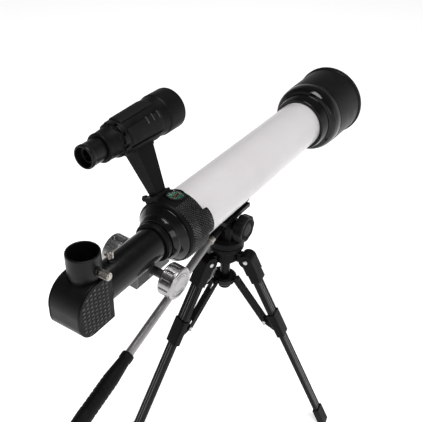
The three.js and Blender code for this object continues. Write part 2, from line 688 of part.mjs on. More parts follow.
const LUG_WIDTH = 3.4;
const LUG_END_R = 5.5;
const RIVET_R = 2;

function tripodHub() {
  const top = HEAD_BASE_Z - GAP;
  const bottom = LEG_PIVOT_Z - 6;
  const socketFloor = HEAD_BASE_Z - HEAD_PIVOT_LENGTH - GAP;
  const drum = solid(alongZ(turned([
    [HEAD_PIVOT_R + RUN, top], [18, top], [19.5, top - 1.7], [19.5, top - 5.7],
    [15, top - 10.7], [15, bottom + 3], [12, bottom], [0, bottom],
    [0, socketFloor], [HEAD_PIVOT_R + RUN, socketFloor],
  ], FINE)).translate(0, TRIPOD_Y, 0));
  const lugs = LEG_AZIMUTHS.map((_, index) => {
    const arm = block([-LUG_WIDTH, 10, LEG_PIVOT_Z - 5], [LUG_WIDTH, LEG_PIVOT_RADIUS, LEG_PIVOT_Z + 6]);
    const end = rodX(LUG_END_R, -LUG_WIDTH, LUG_WIDTH, LEG_PIVOT_RADIUS, LEG_PIVOT_Z + 0.5, 20);
    const hole = rodX(RIVET_R + RUN, -9, 9, LEG_PIVOT_RADIUS, LEG_PIVOT_Z, 20);
    return toAzimuth(cut(join(arm, end), hole), index);
  });
  return join(drum, ...lugs);
}

const COLUMN_R = 5.5;

const tripodColumn = () => {
  const top = LEG_PIVOT_Z - 6 - GAP;
  const bottom = BRACE_HUB_Z - 8;
  const tube = rodZ(COLUMN_R, bottom, top, 0, TRIPOD_Y, 24);
  return join(tube, rodZ(7, bottom - 3, bottom + 0.5, 0, TRIPOD_Y, 24));
};

// Ring that slides on the column, notched where each brace folds up against it.
function braceHub() {
  const high = BRACE_HUB_Z + 4.5;
  const low = BRACE_HUB_Z - 4.5;
  const outer = 13;
  const disc = solid(alongZ(turned([
    [COLUMN_R + RUN, high], [outer - 2, high], [outer, high - 2], [outer, low + 2],
    [outer - 2, low], [COLUMN_R + RUN, low],
  ], FINE)).translate(0, TRIPOD_Y, 0));
  const notches = LEG_AZIMUTHS.map((_, index) =>
    toAzimuth(block([-4.5, 10, low - 1], [4.5, outer + 1, high + 1]), index));
  const ring = cut(disc, ...notches);
  const lugs = LEG_AZIMUTHS.map((_, index) => {
    const arm = block([-2.2, 8, BRACE_HUB_Z - 3], [2.2, BRACE_HUB_REACH, BRACE_HUB_Z + 3]);
    return toAzimuth(join(arm, rodX(3, -2.2, 2.2, BRACE_HUB_REACH, BRACE_HUB_Z)), index);
  });
  return join(ring, ...lugs);
}

// ---- legs ---------------------------------------------------------------
// A leg is drawn hanging straight down from its pivot at the origin, with +Y on the
// outside of the tripod, then splayed and swung round to its azimuth.
function placeLeg(shape, index) {
  const splayed = shape.rotate([THREE.MathUtils.radToDeg(LEG_SPLAY), 0, 0]);
  return toAzimuth(splayed.translate([0, LEG_PIVOT_RADIUS, LEG_PIVOT_Z]), index);
}

// U-shaped channel: grooved web on the outside, two flanges, open towards the tripod's inside.
function channel(halfWidth, outer, inner, top, bottom) {
  const wall = 1;
  const groove = 1.6;
  const sunk = outer - 0.4;
  const shape = flatShape([
    [-halfWidth, inner], [-halfWidth + wall, inner], [-halfWidth + wall, outer - wall],
    [halfWidth - wall, outer - wall], [halfWidth - wall, inner], [halfWidth, inner],
    [halfWidth, outer], [groove, outer], [groove, sunk], [-groove, sunk], [-groove, outer],
    [-halfWidth, outer],
  ]);
  return planProfile(shape, bottom, top);
}

const UPPER_HALF_WIDTH = 6.6;
const UPPER_HALF_DEPTH = 3;
const LOWER_HALF_WIDTH = 5.5;
const LOWER_OUTER = 1.9;
const LOWER_TOP = -60;
const BRACE_PIN_R = 1.5;

// Box that holds a channel of these outside sizes with running clearance all round.
function channelRoom(halfWidth, outer, inner, top, bottom) {
  return block([-halfWidth - RUN, inner - RUN, bottom], [halfWidth + RUN, outer + RUN, top]);
}

function legCap() {
  const half = 8;
  const crownR = 7.8;
  const slotHalf = LUG_WIDTH + 0.35;
  const body = block([-half, -5.4, -17], [half, crownR - 0.2, 0]);
  const crown = rodX(crownR, -half, half, 0, 0, 24);
  const skirt = block([GAP - half, -4.2, -28], [half - GAP, 6.6, -16]);
  const lugSlot = join(block([-slotHalf, -9, -9.5], [slotHalf, 2, 9]),
    rodX(LUG_END_R + 0.8, -slotHalf, slotHalf, 0, 0, 24));
  const socket = channelRoom(UPPER_HALF_WIDTH, UPPER_HALF_DEPTH, -UPPER_HALF_DEPTH, -11.5, -29);
  const rivetHole = rodX(RIVET_R + RUN, -10, 10, 0, 0, 20);
  return cut(join(body, crown, skirt), lugSlot, socket, rivetHole);
}

function legRivet() {
  const reach = 8.2;
  const heads = [-1, 1].map((side) => {
    const ends = side > 0 ? [reach, reach + 1.2] : [-reach - 1.2, -reach];
    return rodX(3.1, ends[0], ends[1], 0, 0, SMALL);
  });
  return join(rodX(RIVET_R, -reach - 0.5, reach + 0.5, 0, 0, 20), ...heads);
}

const legUpper = () =>
  channel(UPPER_HALF_WIDTH, UPPER_HALF_DEPTH, -UPPER_HALF_DEPTH, -11.8, -UPPER_LEG);

function legCollar() {
  const wall = 1.5;
  const outerX = UPPER_HALF_WIDTH + RUN + wall;
  const outerY = UPPER_HALF_DEPTH + RUN + wall;
  const sleeve = block([-outerX, -outerY, -COLLAR_BOTTOM], [outerX, outerY, -COLLAR_TOP]);
  const bracket = sideProfile(flatShape([
    [-4, -COLLAR_TOP - 3], [-BRACKET_IN - 1, -BRACKET_DOWN + 3.4], [-BRACKET_IN - 3.4, -BRACKET_DOWN],
    [-BRACKET_IN - 1.5, -BRACKET_DOWN - 3.2], [-4, 1 - COLLAR_BOTTOM],
  ]), -2.2, 2.2);
  const upperRoom = channelRoom(UPPER_HALF_WIDTH, UPPER_HALF_DEPTH, -UPPER_HALF_DEPTH,
    1 - COLLAR_TOP, -UPPER_LEG - GAP);
  const lowerRoom = channelRoom(LOWER_HALF_WIDTH, LOWER_OUTER, -UPPER_HALF_DEPTH,
    -COLLAR_TOP, -COLLAR_BOTTOM - 1);
  const pin = rodX(BRACE_PIN_R, -4.4, 4.4, -BRACKET_IN, -BRACKET_DOWN, SMALL);
  return join(cut(join(sleeve, bracket), upperRoom, lowerRoom), pin);
}

const legLower = () =>
  channel(LOWER_HALF_WIDTH, LOWER_OUTER, -UPPER_HALF_DEPTH, LOWER_TOP, -LEG_LENGTH + 11);

// Rubber foot, trimmed level with the table when the leg is spread.
const FLOOR_Z = LEG_PIVOT_Z - LEG_LENGTH * Math.cos(LEG_SPLAY);

function legFoot(index) {
  const boot = block([-6.8, -4.6, -LEG_LENGTH - 4], [6.8, 3.4, -LEG_LENGTH + 22]);
  const room = channelRoom(LOWER_HALF_WIDTH, LOWER_OUTER, -UPPER_HALF_DEPTH,
    -LEG_LENGTH + 23, -LEG_LENGTH + 10.7);
  const placed = placeLeg(cut(boot, room), index);
  const below = block([-400, -200, FLOOR_Z - 60], [400, 600, FLOOR_Z]);
  return cut(placed, below);
}

// Brace from the collar's bracket (its hinge) up to the lug on the sliding brace hub.
function legBrace(index) {
  const splaySin = Math.sin(LEG_SPLAY);
  const splayCos = Math.cos(LEG_SPLAY);
  const outerY = LEG_PIVOT_RADIUS + BRACKET_DOWN * splaySin - BRACKET_IN * splayCos;
  const outerZ = LEG_PIVOT_Z - BRACKET_DOWN * splayCos - BRACKET_IN * splaySin;
  const length = Math.hypot(outerY - BRACE_HUB_REACH, BRACE_HUB_Z - outerZ);
  const rise = Math.atan2(BRACE_HUB_Z - outerZ, outerY - BRACE_HUB_REACH);
  const half = 3.9;
  const cheekInside = 2.5;
  const bar = block([-half, -3, -2.6], [half, length + 3, 2.6]);
  const lugRoom = block([-cheekInside, -4, -4], [cheekInside, 9, 4]);
  const hubRoom = block([-cheekInside, length - 9, -4], [cheekInside, length + 4, 4]);
  const trough = block([-cheekInside, -4, -4], [cheekInside, length + 4, 1.4]);
  const pinHole = rodX(BRACE_PIN_R + RUN, -6, 6, 0, 0, SMALL);
  const brace = cut(bar, lugRoom, hubRoom, trough, pinHole);
  const swung = brace.rotate([0, 0, 180]).rotate([-THREE.MathUtils.radToDeg(rise), 0, 0]);
  return toAzimuth(swung.translate([0, outerY, outerZ]), index);
}

function leg(index) {
  const name = `leg_${index + 1}`;
  return assembly(name, [
    [`${name}_cap`, placeLeg(legCap(), index), SATIN_BLACK],
    [`${name}_rivet`, placeLeg(legRivet(), index), STEEL],
    [`${name}_upper`, placeLeg(legUpper(), index), LEG_METAL],
    [`${name}_collar`, placeLeg(legCollar(), index), SATIN_BLACK],
    [`${name}_lower`, placeLeg(legLower(), index), LEG_METAL],
    [`${name}_foot`, legFoot(index), RUBBER],
    [`${name}_brace`, legBrace(index), LEG_METAL],
  ]);
}

// ---- whole object -------------------------------------------------------
const telescope = new THREE.Group();
telescope.name = "telescope_on_tripod";

telescope.add(assembly("optical_tube", [
  ["main_tube", mainTube(), WHITE_PAINT],
  ["lens_cell", lensCell(), GLOSS_BLACK],
  ["objective_lens", objectiveLens(), GLASS],
  ["dew_shade", dewShade(), SATIN_BLACK],
]));
telescope.add(assembly("focuser", [
  ["focuser_housing", focuserHousing(), MATTE_BLACK],
  ["drawtube_stop_ring", stopRing(), MATTE_BLACK],
  ["compass_dial", compassDial(), DIAL_GREEN],
  ["compass_needle", compassNeedle(), NEEDLE_RED],
  ["compass_glass", compassGlass(), GLASS],
  ["drawtube", drawtube(), GLOSS_BLACK],
  ["focus_rack", focusRack(), GREY_METAL],
  ["pinion_housing", pinionHousing(), SATIN_BLACK],
  ["pinion_shaft", pinionShaft(), STEEL],
  ["focus_knob_right", focusKnob(1), CHROME],
  ["focus_knob_left", focusKnob(-1), CHROME],
]));
telescope.add(assembly("diagonal", [
  ["diagonal_body", diagonalBody(), SATIN_BLACK],
  ["diagonal_cover_right", diagonalCover(1), MATTE_BLACK],
  ["diagonal_cover_left", diagonalCover(-1), MATTE_BLACK],
  ["diagonal_mirror", diagonalMirror(), MIRROR],
  ["eyepiece_socket", eyepieceSocket(), SATIN_BLACK],
  ["eyepiece_thumbscrew", eyepieceScrew(), CHROME],
  ["nosepiece_thumbscrew", nosepieceScrew(), CHROME],
]));
telescope.add(assembly("finder", [
  ["finder_body", finderBody(), MATTE_BLACK],
  ["finder_rear_barrel", finderRearBarrel(), MATTE_BLACK],
  ["finder_eyepiece", finderEyepiece(), SATIN_BLACK],
  ["finder_eye_lens", finderEyeLens(), GLASS],
  ["finder_objective", finderObjective(), GLASS],
  ["finder_stalk", finderStalk(), MATTE_BLACK],
  ["finder_clamp_screw", finderClampScrew(), SATIN_BLACK],
]));
telescope.add(assembly("head", [
  ["saddle_bar", saddleBar(), SATIN_BLACK],
  ["head_platform", headPlatform(), SATIN_BLACK],
  ["head_fork", headFork(), SATIN_BLACK],
  ["tilt_bolt", tiltBolt(), STEEL],
  ["tilt_knob", tiltKnob(), MATTE_BLACK],
  ["handle_rod", handleRod(), GREY_METAL],
  ["handle_grip", handleGrip(), RUBBER],
]));
telescope.add(assembly("tripod", [
  ["tripod_hub", tripodHub(), SATIN_BLACK],
  ["tripod_column", tripodColumn(), LEG_METAL],
  ["brace_hub", braceHub(), SATIN_BLACK],
]));
LEG_AZIMUTHS.forEach((_, index) => telescope.add(leg(index)));

const bounds = new THREE.Box3().setFromObject(telescope);
const middle = bounds.getCenter(new THREE.Vector3());
telescope.position.set(-middle.x, -middle.y, -bounds.min.z);

export default telescope;
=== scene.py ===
"""Looks of a small refracting telescope on its table tripod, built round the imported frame.

Pieces are drawn in millimetres about the point on the optical axis under the eyepiece
socket, with +Y the way the telescope points, and are placed in metres in the frame.
"""

import json
import math

import bmesh
import bpy
import numpy as np
from mathutils import Matrix, Vector


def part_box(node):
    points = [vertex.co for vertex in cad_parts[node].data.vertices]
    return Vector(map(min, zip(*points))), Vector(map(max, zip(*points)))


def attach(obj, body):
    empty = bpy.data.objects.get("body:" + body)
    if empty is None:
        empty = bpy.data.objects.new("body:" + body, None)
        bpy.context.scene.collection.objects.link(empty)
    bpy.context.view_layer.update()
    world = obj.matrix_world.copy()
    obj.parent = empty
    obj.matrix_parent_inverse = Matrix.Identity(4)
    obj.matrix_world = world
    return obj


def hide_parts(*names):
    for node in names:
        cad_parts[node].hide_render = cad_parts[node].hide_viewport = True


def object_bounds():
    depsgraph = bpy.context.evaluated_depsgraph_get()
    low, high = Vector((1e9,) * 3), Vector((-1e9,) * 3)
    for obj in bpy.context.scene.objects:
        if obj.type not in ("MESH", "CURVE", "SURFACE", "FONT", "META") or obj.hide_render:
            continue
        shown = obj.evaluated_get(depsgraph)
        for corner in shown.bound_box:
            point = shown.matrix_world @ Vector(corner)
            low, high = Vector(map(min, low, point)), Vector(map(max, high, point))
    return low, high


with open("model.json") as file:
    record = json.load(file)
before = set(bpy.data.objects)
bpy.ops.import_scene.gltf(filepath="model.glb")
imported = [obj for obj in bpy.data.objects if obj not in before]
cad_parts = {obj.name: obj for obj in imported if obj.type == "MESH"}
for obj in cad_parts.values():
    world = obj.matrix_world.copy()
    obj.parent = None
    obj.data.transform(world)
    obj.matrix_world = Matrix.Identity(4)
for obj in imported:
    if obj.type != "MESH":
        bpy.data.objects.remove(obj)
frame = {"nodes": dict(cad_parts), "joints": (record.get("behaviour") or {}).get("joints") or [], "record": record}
cad_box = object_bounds()

MM = 0.001
FORWARD = Vector((0, 1, 0))
SEGMENTS = 96            # steps round a turned piece
CORNER_STEPS = 3         # steps round a rounded corner
RECORD = frame["record"]
JOINTS = {joint["name"]: joint for joint in frame["joints"]}
BODY_OF = {node: body for body, nodes in RECORD["behaviour"]["bodies"].items() for node in nodes}
SLOT_OF = {part["node"]: part["material_slot"] for part in RECORD["subparts"]}


# ---- places in the frame ----
def reference_point():
    """The point on the optical axis under the eyepiece socket, in metres."""
    tube_low, tube_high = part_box("main_tube")
    socket_low, socket_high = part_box("eyepiece_socket")
    middle = (tube_low + tube_high) / 2
    return Vector((middle.x, (socket_low.y + socket_high.y) / 2, middle.z))


REFERENCE = reference_point()


def box_of(node):
    """Lowest and highest corner of a CAD node, in millimetres from the reference point."""
    low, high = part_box(node)
    return (low - REFERENCE) / MM, (high - REFERENCE) / MM


def toward(direction, origin):
    """Matrix that takes the +Y axis to a direction through an origin."""
    ahead = Vector(direction).normalized()
    up = Vector((0, 0, 1)) if abs(ahead.z) < 0.9 else Vector((0, 1, 0))
    side = ahead.cross(up).normalized()
    matrix = Matrix((side, ahead, side.cross(ahead))).transposed().to_4x4()
    matrix.translation = origin
    return matrix


def joint_point(name):
    return (Vector(JOINTS[name]["pos_m"]) - REFERENCE) / MM


def joint_way(name):
    return Vector(JOINTS[name]["axis"]).normalized()


def joint_axis(name):
    """Matrix that takes the +Y axis to the axis of a joint."""
    return toward(JOINTS[name]["axis"], joint_point(name))


# ---- shapes: each is (points, faces) ----
def rounded(outline, radius, closed):
    """An outline with each corner replaced by a short curve."""
    corners = [np.array(point, float) for point in outline]
    count = len(corners)
    line = []
    for index, corner in enumerate(corners):
        if not closed and index in (0, count - 1):
            line.append(corner)
            continue
        back = corners[index - 1] - corner
        ahead = corners[(index + 1) % count] - corner
        back_length = np.linalg.norm(back)
        ahead_length = np.linalg.norm(ahead)
        reach = min(radius, 0.45 * back_length, 0.45 * ahead_length)
        start = corner + back / back_length * reach
        end = corner + ahead / ahead_length * reach
        for step in range(CORNER_STEPS + 1):
            share = step / CORNER_STEPS
            line.append((1 - share) ** 2 * start + 2 * share * (1 - share) * corner
                        + share ** 2 * end)
    return line


def turned(profile, bevel=0.3, segments=SEGMENTS, arc=None, relief=None):
    """Turned piece about +Y from (radius, distance) pairs, over a whole turn or an arc.

    relief(angle, radius, distance) gives the radius where the surface isn't round.
    """
    closed = profile[0][0] > 0
    line = rounded(profile, bevel, closed)
    if arc:
        angles = np.linspace(math.radians(arc[0]), math.radians(arc[1]), segments + 1)
    else:
        angles = np.arange(segments) * math.tau / segments
    points = []
    for angle in angles:
        for radius, distance in line:
            reach = relief(angle, radius, distance) if relief else radius
            points.append((reach * math.cos(angle), distance, reach * math.sin(angle)))
    across = len(line)
    rows = len(angles)
    faces = []
    for row in range(rows - 1 if arc else rows):
        following = (row + 1) % rows
        for column in range(across if closed else across - 1):
            beside = (column + 1) % across
            faces.append((row * across + column, row * across + beside,
                          following * across + beside, following * across + column))
    if arc:
        faces.append(tuple(range(across)))
        faces.append(tuple((rows - 1) * across + column for column in range(across)))
    return points, faces


def band(inner, outer, start, end):
    """Profile of a plain ring, or of a disc where the inner radius is 0."""
    return [(inner, start), (outer, start), (outer, end), (inner, end)]


def under(radius, start, *steps):
    """Run of a profile, each step a depth under the radius and a distance past the start."""
    return [(radius - depth, start + distance) for depth, distance in steps]


def rod(radius, start, end, bevel, segments):
    """Solid rod along +Y."""
    return turned(band(0, radius, start, end), bevel, segments)


def slab(outline, start, end):
    """Outline in X and Z, carried along +Y from start to end."""
    count = len(outline)
    points = [(x, y, z) for y in (start, end) for x, z in outline]
    faces = [tuple(range(count)), tuple(range(count, 2 * count))]
    for index in range(count):
        following = (index + 1) % count
        faces.append((index, following, following + count, index + count))
    return points, faces


def sleeve(outer, inner, start, end):
    """Tube along +Y between two outlines with the same number of points."""
    count = len(outer)
    rings = ((outer, start), (outer, end), (inner, end), (inner, start))
    points = [(x, y, z) for outline, y in rings for x, z in outline]
    faces = []
    for ring in range(4):
        beside = (ring + 1) % 4
        for index in range(count):
            following = (index + 1) % count
            faces.append((ring * count + index, ring * count + following,
                          beside * count + following, beside * count + index))
    return points, faces


def oblong(half_width, low, high, radius):
    """Rounded rectangle in X and Z."""
    corners = [(-half_width, low), (half_width, low), (half_width, high), (-half_width, high)]
    return rounded(corners, radius, True)


def brick(low, high):
    """Rectangular block between two corners."""
    outline = [(low[0], low[2]), (high[0], low[2]), (high[0], high[2]), (low[0], high[2])]
    return slab(outline, low[1], high[1])


def moved(shape, matrix):
    points, faces = shape
    return [matrix @ Vector(point) for point in points], faces


def together(*shapes):
    """Several shapes as one."""
    points, faces = [], []
    for more_points, more_faces in shapes:
        offset = len(points)
        points.extend(more_points)
        faces.extend(tuple(index + offset for index in face) for face in more_faces)
    return points, faces


def from_cad(node):
    """The shape of a CAD node, welded, with its flat faces whole."""
    mesh = bmesh.new()
    mesh.from_mesh(frame["nodes"][node].data)
    bmesh.ops.remove_doubles(mesh, verts=mesh.verts, dist=2e-6)
    bmesh.ops.dissolve_limit(mesh, angle_limit=math.radians(0.7), verts=mesh.verts,
                             edges=mesh.edges)
    mesh.verts.index_update()
    points = [(vert.co - REFERENCE) / MM for vert in mesh.verts]
    faces = [tuple(vert.index for vert in face.verts) for face in mesh.faces]
    mesh.free()
    return points, faces


def stud(centre, normal, length_way, length, width, height):
    """Raised lozenge with a small flat top, sitting on a surface."""
    normal = Vector(normal).normalized()
    ahead = Vector(length_way).normalized()
    side = normal.cross(ahead)
    centre = Vector(centre)
    points = []
    for lift, share in ((-0.1, 1.0), (height, 0.4)):
        for along, across in ((1, 0), (0, 1), (-1, 0), (0, -1)):
            points.append(centre + normal * lift + ahead * (along * share * length / 2)
                          + side * (across * share * width / 2))
    faces = [(3, 2, 1, 0), (4, 5, 6, 7)]
    faces += [(i, (i + 1) % 4, (i + 1) % 4 + 4, i + 4) for i in range(4)]
    return points, faces


def ridged(count, depth):
    """Relief of a knurled edge: count shallow ridges, clear of the small radii in the middle."""
    smallest = 2.0

    def relief(angle, radius, _):
        if radius < smallest:
            return radius
        return radius - depth * (0.5 - 0.5 * math.cos(count * angle))
    return relief


# ---- materials ----
def set_inputs(node, **values):
    """Sets inputs of a shader node by name, with an underscore for each space."""
    for name, value in values.items():
        node.inputs[name.replace("_", " ")].default_value = value


class Finish:
    """A procedural material built round one Principled shader."""

    def __init__(self, name):
        self.material = bpy.data.materials.new(name)
        self.material.use_nodes = True
        tree = self.material.node_tree
        self.nodes = tree.nodes
        self.links = tree.links
        self.shader = self.nodes["Principled BSDF"]
        self.place = self.nodes.new("ShaderNodeTexCoord").outputs["Object"]

    def noise(self, size, detail=4.0):
        """Soft random pattern with features of about this size in millimetres."""
        node = self.nodes.new("ShaderNodeTexNoise")
        set_inputs(node, Scale=1 / (size * MM), Detail=detail)
        self.links.new(self.place, node.inputs["Vector"])
        return node.outputs["Fac"]

    def spread(self, value, low, high, from_low=0.3, from_high=0.7):
        node = self.nodes.new("ShaderNodeMapRange")
        set_inputs(node, From_Min=from_low, From_Max=from_high, To_Min=low, To_Max=high)
        self.links.new(value, node.inputs["Value"])
        return node.outputs["Result"]

    def times(self, first, second):
        node = self.nodes.new("ShaderNodeMath")
        node.operation = "MULTIPLY"
        self.links.new(first, node.inputs[0])
        self.links.new(second, node.inputs[1])
        return node.outputs["Value"]

    def between(self, share, first, second):
        """Colour that goes from first to second; either may be a colour or another output."""
        node = self.nodes.new("ShaderNodeMix")
        node.data_type = "RGBA"
        self.links.new(share, node.inputs["Factor"])
        for socket, colour in ((node.inputs[6], first), (node.inputs[7], second)):
            if isinstance(colour, tuple):
                socket.default_value = (*colour, 1)
            else:
                self.links.new(colour, socket)
        return node.outputs[2]

    def edges(self, width=0.5):
        """Share that rises within this many millimetres of an edge, where handling wears it and where some
        finishes paint a highlight.
        """
        softened = self.nodes.new("ShaderNodeBevel")
        softened.samples = 4
        softened.inputs["Radius"].default_value = width * MM
        geometry = self.nodes.new("ShaderNodeNewGeometry")
        facing = self.nodes.new("ShaderNodeVectorMath")
        facing.operation = "DOT_PRODUCT"
        self.links.new(softened.outputs["Normal"], facing.inputs[0])
        self.links.new(geometry.outputs["Normal"], facing.inputs[1])
        return self.spread(facing.outputs["Value"], 1, 0, 0.8, 0.98)

    def bump(self, height, depth):
        """Adds relief of this depth in millimetres on top of any that is there already."""
        node = self.nodes.new("ShaderNodeBump")
        node.inputs["Distance"].default_value = depth * MM
        self.links.new(height, node.inputs["Height"])
        normal = self.shader.inputs["Normal"]
        if normal.is_linked:
            self.links.new(normal.links[0].from_socket, node.inputs["Normal"])
        self.links.new(node.outputs["Normal"], normal)

    def colour(self, value):
        self.links.new(value, self.shader.inputs["Base Color"])

    def roughness(self, value):
        self.links.new(value, self.shader.inputs["Roughness"])

    def fixed(self, **values):
        set_inputs(self.shader, **values)


def scaled(colour, share):
    return tuple(channel * share for channel in colour)


GREY_WEAR = (0.05, 0.05, 0.052)


def coated(name, colour, smoothness, grain, depth, wear_and_glint=GREY_WEAR, edge=0.5, metallic=0.0,
           coat=0.0, shine=0.2):
    """Moulded plastic or coated metal: mottled colour, fine grain and lighter edges, which are wear on most
    finishes and a painted highlight on some.

    smoothness is (lowest, highest) roughness, grain its size and depth its relief; edges are
    lightened for this width.
    """
    finish = Finish(name)
    cloud = finish.noise(18.0)
    speck = finish.noise(grain, 6.0)
    base = finish.between(finish.spread(cloud, 0, 1), scaled(colour, 0.9), scaled(colour, 1.12))
    # edge colour: wear on most finishes, painted highlight on the knurled, grip and leg-ridge finishes
    wear_and_glint_share = finish.times(finish.edges(edge), finish.spread(finish.noise(4.0), 0.1, 0.7))
    finish.colour(finish.between(wear_and_glint_share, base, wear_and_glint))
    finish.roughness(finish.spread(finish.noise(9.0, 8.0), *smoothness))
    finish.bump(speck, depth)
    finish.fixed(Metallic=metallic, Coat_Weight=coat, Coat_Roughness=0.06,
                 Specular_IOR_Level=shine)
    return finish


def mottled(name, colour_cloud, first, second, haze, smoothness):
    """A finish that drifts between two colours and two roughnesses.

    colour_cloud and haze are (size in millimetres, detail) of the two patterns.
    """
    finish = Finish(name)
    cloud = finish.spread(finish.noise(*colour_cloud), 0, 1)
    finish.colour(finish.between(cloud, first, second))
    finish.roughness(finish.spread(finish.noise(*haze), *smoothness))
    return finish


def polished(name, colour, roughness):
    """Plated or polished metal with a faint haze and shallow ripples."""
    finish = mottled(name, (7.0, 8.0), scaled(colour, 0.94), colour, (3.0, 8.0),
                     (roughness * 0.8, roughness * 1.3))
    finish.bump(finish.noise(6.0, 2.0), 0.006)
    finish.fixed(Metallic=1.0)
    return finish


def make_white_paint():
    finish = Finish("white_enamel")
    cloud = finish.spread(finish.noise(60.0), 0, 1)
    base = finish.between(cloud, (0.6, 0.575, 0.58), (0.65, 0.628, 0.632))
    dust = finish.spread(finish.noise(1.3, 2.0), 0, 0.35, 0.68, 0.8)
    finish.colour(finish.between(dust, base, (0.5, 0.47, 0.46)))
    finish.roughness(finish.spread(finish.noise(12.0, 6.0), 0.3, 0.42))
    finish.bump(finish.noise(1.6, 2.0), 0.01)
    finish.fixed(Coat_Weight=0.25, Coat_Roughness=0.12)
    return finish


def make_glass():
    finish = mottled("coated_glass", (25.0,), (0.86, 0.95, 0.92), (0.92, 0.95, 0.98), (5.0,),
                     (0.0, 0.03))
    finish.fixed(Transmission_Weight=1.0, IOR=1.3, Alpha=0.35)
    return finish


def make_mirror():
    finish = mottled("front_mirror", (9.0,), (0.88, 0.9, 0.92), (0.93, 0.94, 0.95), (4.0,),
                     (0.01, 0.04))
    finish.fixed(Metallic=1.0)
    return finish


def make_dial():
    """Green printed dial, darker in patches."""
    finish = mottled("compass_print", (2.2, 6.0), (0.002, 0.035, 0.018), (0.02, 0.15, 0.085),
                     (1.0,), (0.4, 0.6))
    finish.bump(finish.noise(0.3), 0.01)
    return finish


BLACK = (0.0045, 0.0045, 0.0048)
FINISHES = {
    "white_paint": make_white_paint(),
    "black_plastic_satin": coated("satin_plastic", BLACK, (0.28, 0.42), 0.5, 0.015),
    "black_plastic_matte": coated("matte_plastic", scaled(BLACK, 0.8), (0.36, 0.5), 0.35, 0.02,
                                  shine=0.1),
    "black_plastic_gloss": coated("gloss_plastic", scaled(BLACK, 0.8), (0.08, 0.13), 6.0, 0.002,
                                  coat=0.09, shine=0.26),
    "black_metal_gloss": coated("gloss_tube", BLACK, (0.18, 0.26), 5.0, 0.003, coat=0.08,
                                shine=0.22),
    "black_metal_leg": coated("leg_anodising", BLACK, (0.14, 0.24), 0.4, 0.006,
                              (0.2, 0.2, 0.205), edge=0.3, shine=0.1),
    # light grey ridges along the legs: painted highlight streaks
    "ridge_painted_highlight": coated("ridge_painted_highlight", (0.1, 0.1, 0.102), (0.2, 0.34), 0.5, 0.01,
                           (0.3, 0.3, 0.3), edge=0.3, shine=0.4),
    "dull_moulding": coated("dull_moulding", scaled(BLACK, 0.7), (0.34, 0.5), 0.5, 0.02,
                            shine=0.08),
    "chrome": polished("chrome_plate", (0.42, 0.39, 0.36), 0.28),
    "chromed_alloy": polished("chromed_alloy", (0.39, 0.38, 0.38), 0.28),
    "steel": polished("plain_steel", (0.55, 0.55, 0.57), 0.32),
    "grey_metal": coated("grey_metal", (0.3, 0.29, 0.29), (0.3, 0.42), 0.6, 0.008,
                         (0.5, 0.5, 0.5), metallic=0.6),
    "rubber": coated("black_rubber", BLACK, (0.5, 0.7), 0.4, 0.04, shine=0.15),
    "glass": make_glass(),
    "mirror": make_mirror(),
    "dial_green": make_dial(),
    "needle_red": coated("red_lacquer", (0.13, 0.015, 0.012), (0.25, 0.4), 0.5, 0.004,
                         (0.3, 0.1, 0.08)),
    "print_white": coated("dial_print", (0.6, 0.62, 0.6), (0.4, 0.5), 0.3, 0.004, (0.7, 0.7, 0.7)),
    # lighter base and light edges paint the glints off lozenges and ribs: painted highlight, with some edge wear
    "knurled": coated("knurl_painted_glints", scaled(BLACK, 12.0), (0.2, 0.3), 0.35, 0.004,
                      (0.36, 0.36, 0.36), edge=0.25, shine=0.4),
    "cast_grey": coated("cast_grey", (0.045, 0.045, 0.046), (0.26, 0.4), 0.6, 0.01,
                        (0.2, 0.2, 0.2), shine=0.45),
    # lighter base and light edges paint the hatch of glints on the collar knurl: painted highlight, with some edge
    # wear
    "grip": coated("grip_painted_highlight", scaled(BLACK, 6.0), (0.24, 0.36), 0.35, 0.004,
                   (0.25, 0.25, 0.25), edge=0.25, shine=0.35),
}


# ---- pieces ----
def add_object(name, data):
    """Puts an object with this data into the scene."""
    added = bpy.data.objects.new(name, data)
    bpy.context.scene.collection.objects.link(added)
    return added


def add_piece(name, shape, like, finish=None, replaces=(), bevel=0.0, sharp=38):
    """Makes a piece that rides with the CAD node that it is like, in that node's finish."""
    points, faces = shape
    mesh = bmesh.new()
    verts = [mesh.verts.new(REFERENCE + MM * Vector(point)) for point in points]
    for face in faces:
        mesh.faces.new([verts[index] for index in face])
    bmesh.ops.remove_doubles(mesh, verts=mesh.verts, dist=1e-7)
    bmesh.ops.recalc_face_normals(mesh, faces=mesh.faces)
    if bevel:
        corners = [edge for edge in mesh.edges
                   if edge.is_manifold and edge.calc_face_angle(0) > math.radians(32)]
        bmesh.ops.bevel(mesh, geom=corners, offset=bevel * MM, offset_type="OFFSET", segments=2,
                        profile=0.5, affect="EDGES", clamp_overlap=True)
    for face in mesh.faces:
        face.smooth = True
    data = bpy.data.meshes.new(name)
    mesh.to_mesh(data)
    mesh.free()
    data.set_sharp_from_angle(angle=math.radians(sharp))
    piece = add_object(name, data)
    data.materials.append(FINISHES[finish or SLOT_OF[like]].material)
    if bevel:
        weighted = piece.modifiers.new("weighted", "WEIGHTED_NORMAL")
        weighted.keep_sharp = True
    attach(piece, BODY_OF[like])
    if replaces:
        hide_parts(*replaces)
    return piece


def stand_in(node, shape, finish=None, bevel=0.0, sharp=38):
    """A finer piece that is shown in place of one CAD node."""
    return add_piece(f"{node}_look", shape, node, finish, (node,), bevel, sharp)


def soften(node, bevel, finish=None):
    """Shows a CAD node in its own shape with rounded edges."""
    stand_in(node, from_cad(node), finish, bevel)


def centred_along_y(node):
    """Matrix onto the middle of a node turned about +Y, its outer radius and its ends."""
    low, high = box_of(node)
    middle = (low + high) / 2
    matrix = Matrix.Translation((middle.x, 0, middle.z))
    return matrix, (high.x - low.x) / 2, low.y, high.y


# ---- optical tube ----
TUBE_WALL = 1.4


def build_main_tube():
    _, radius, rear, front = centred_along_y("main_tube")
    inner = radius - TUBE_WALL
    stand_in("main_tube", turned(band(inner, radius, rear, front), 0.4))


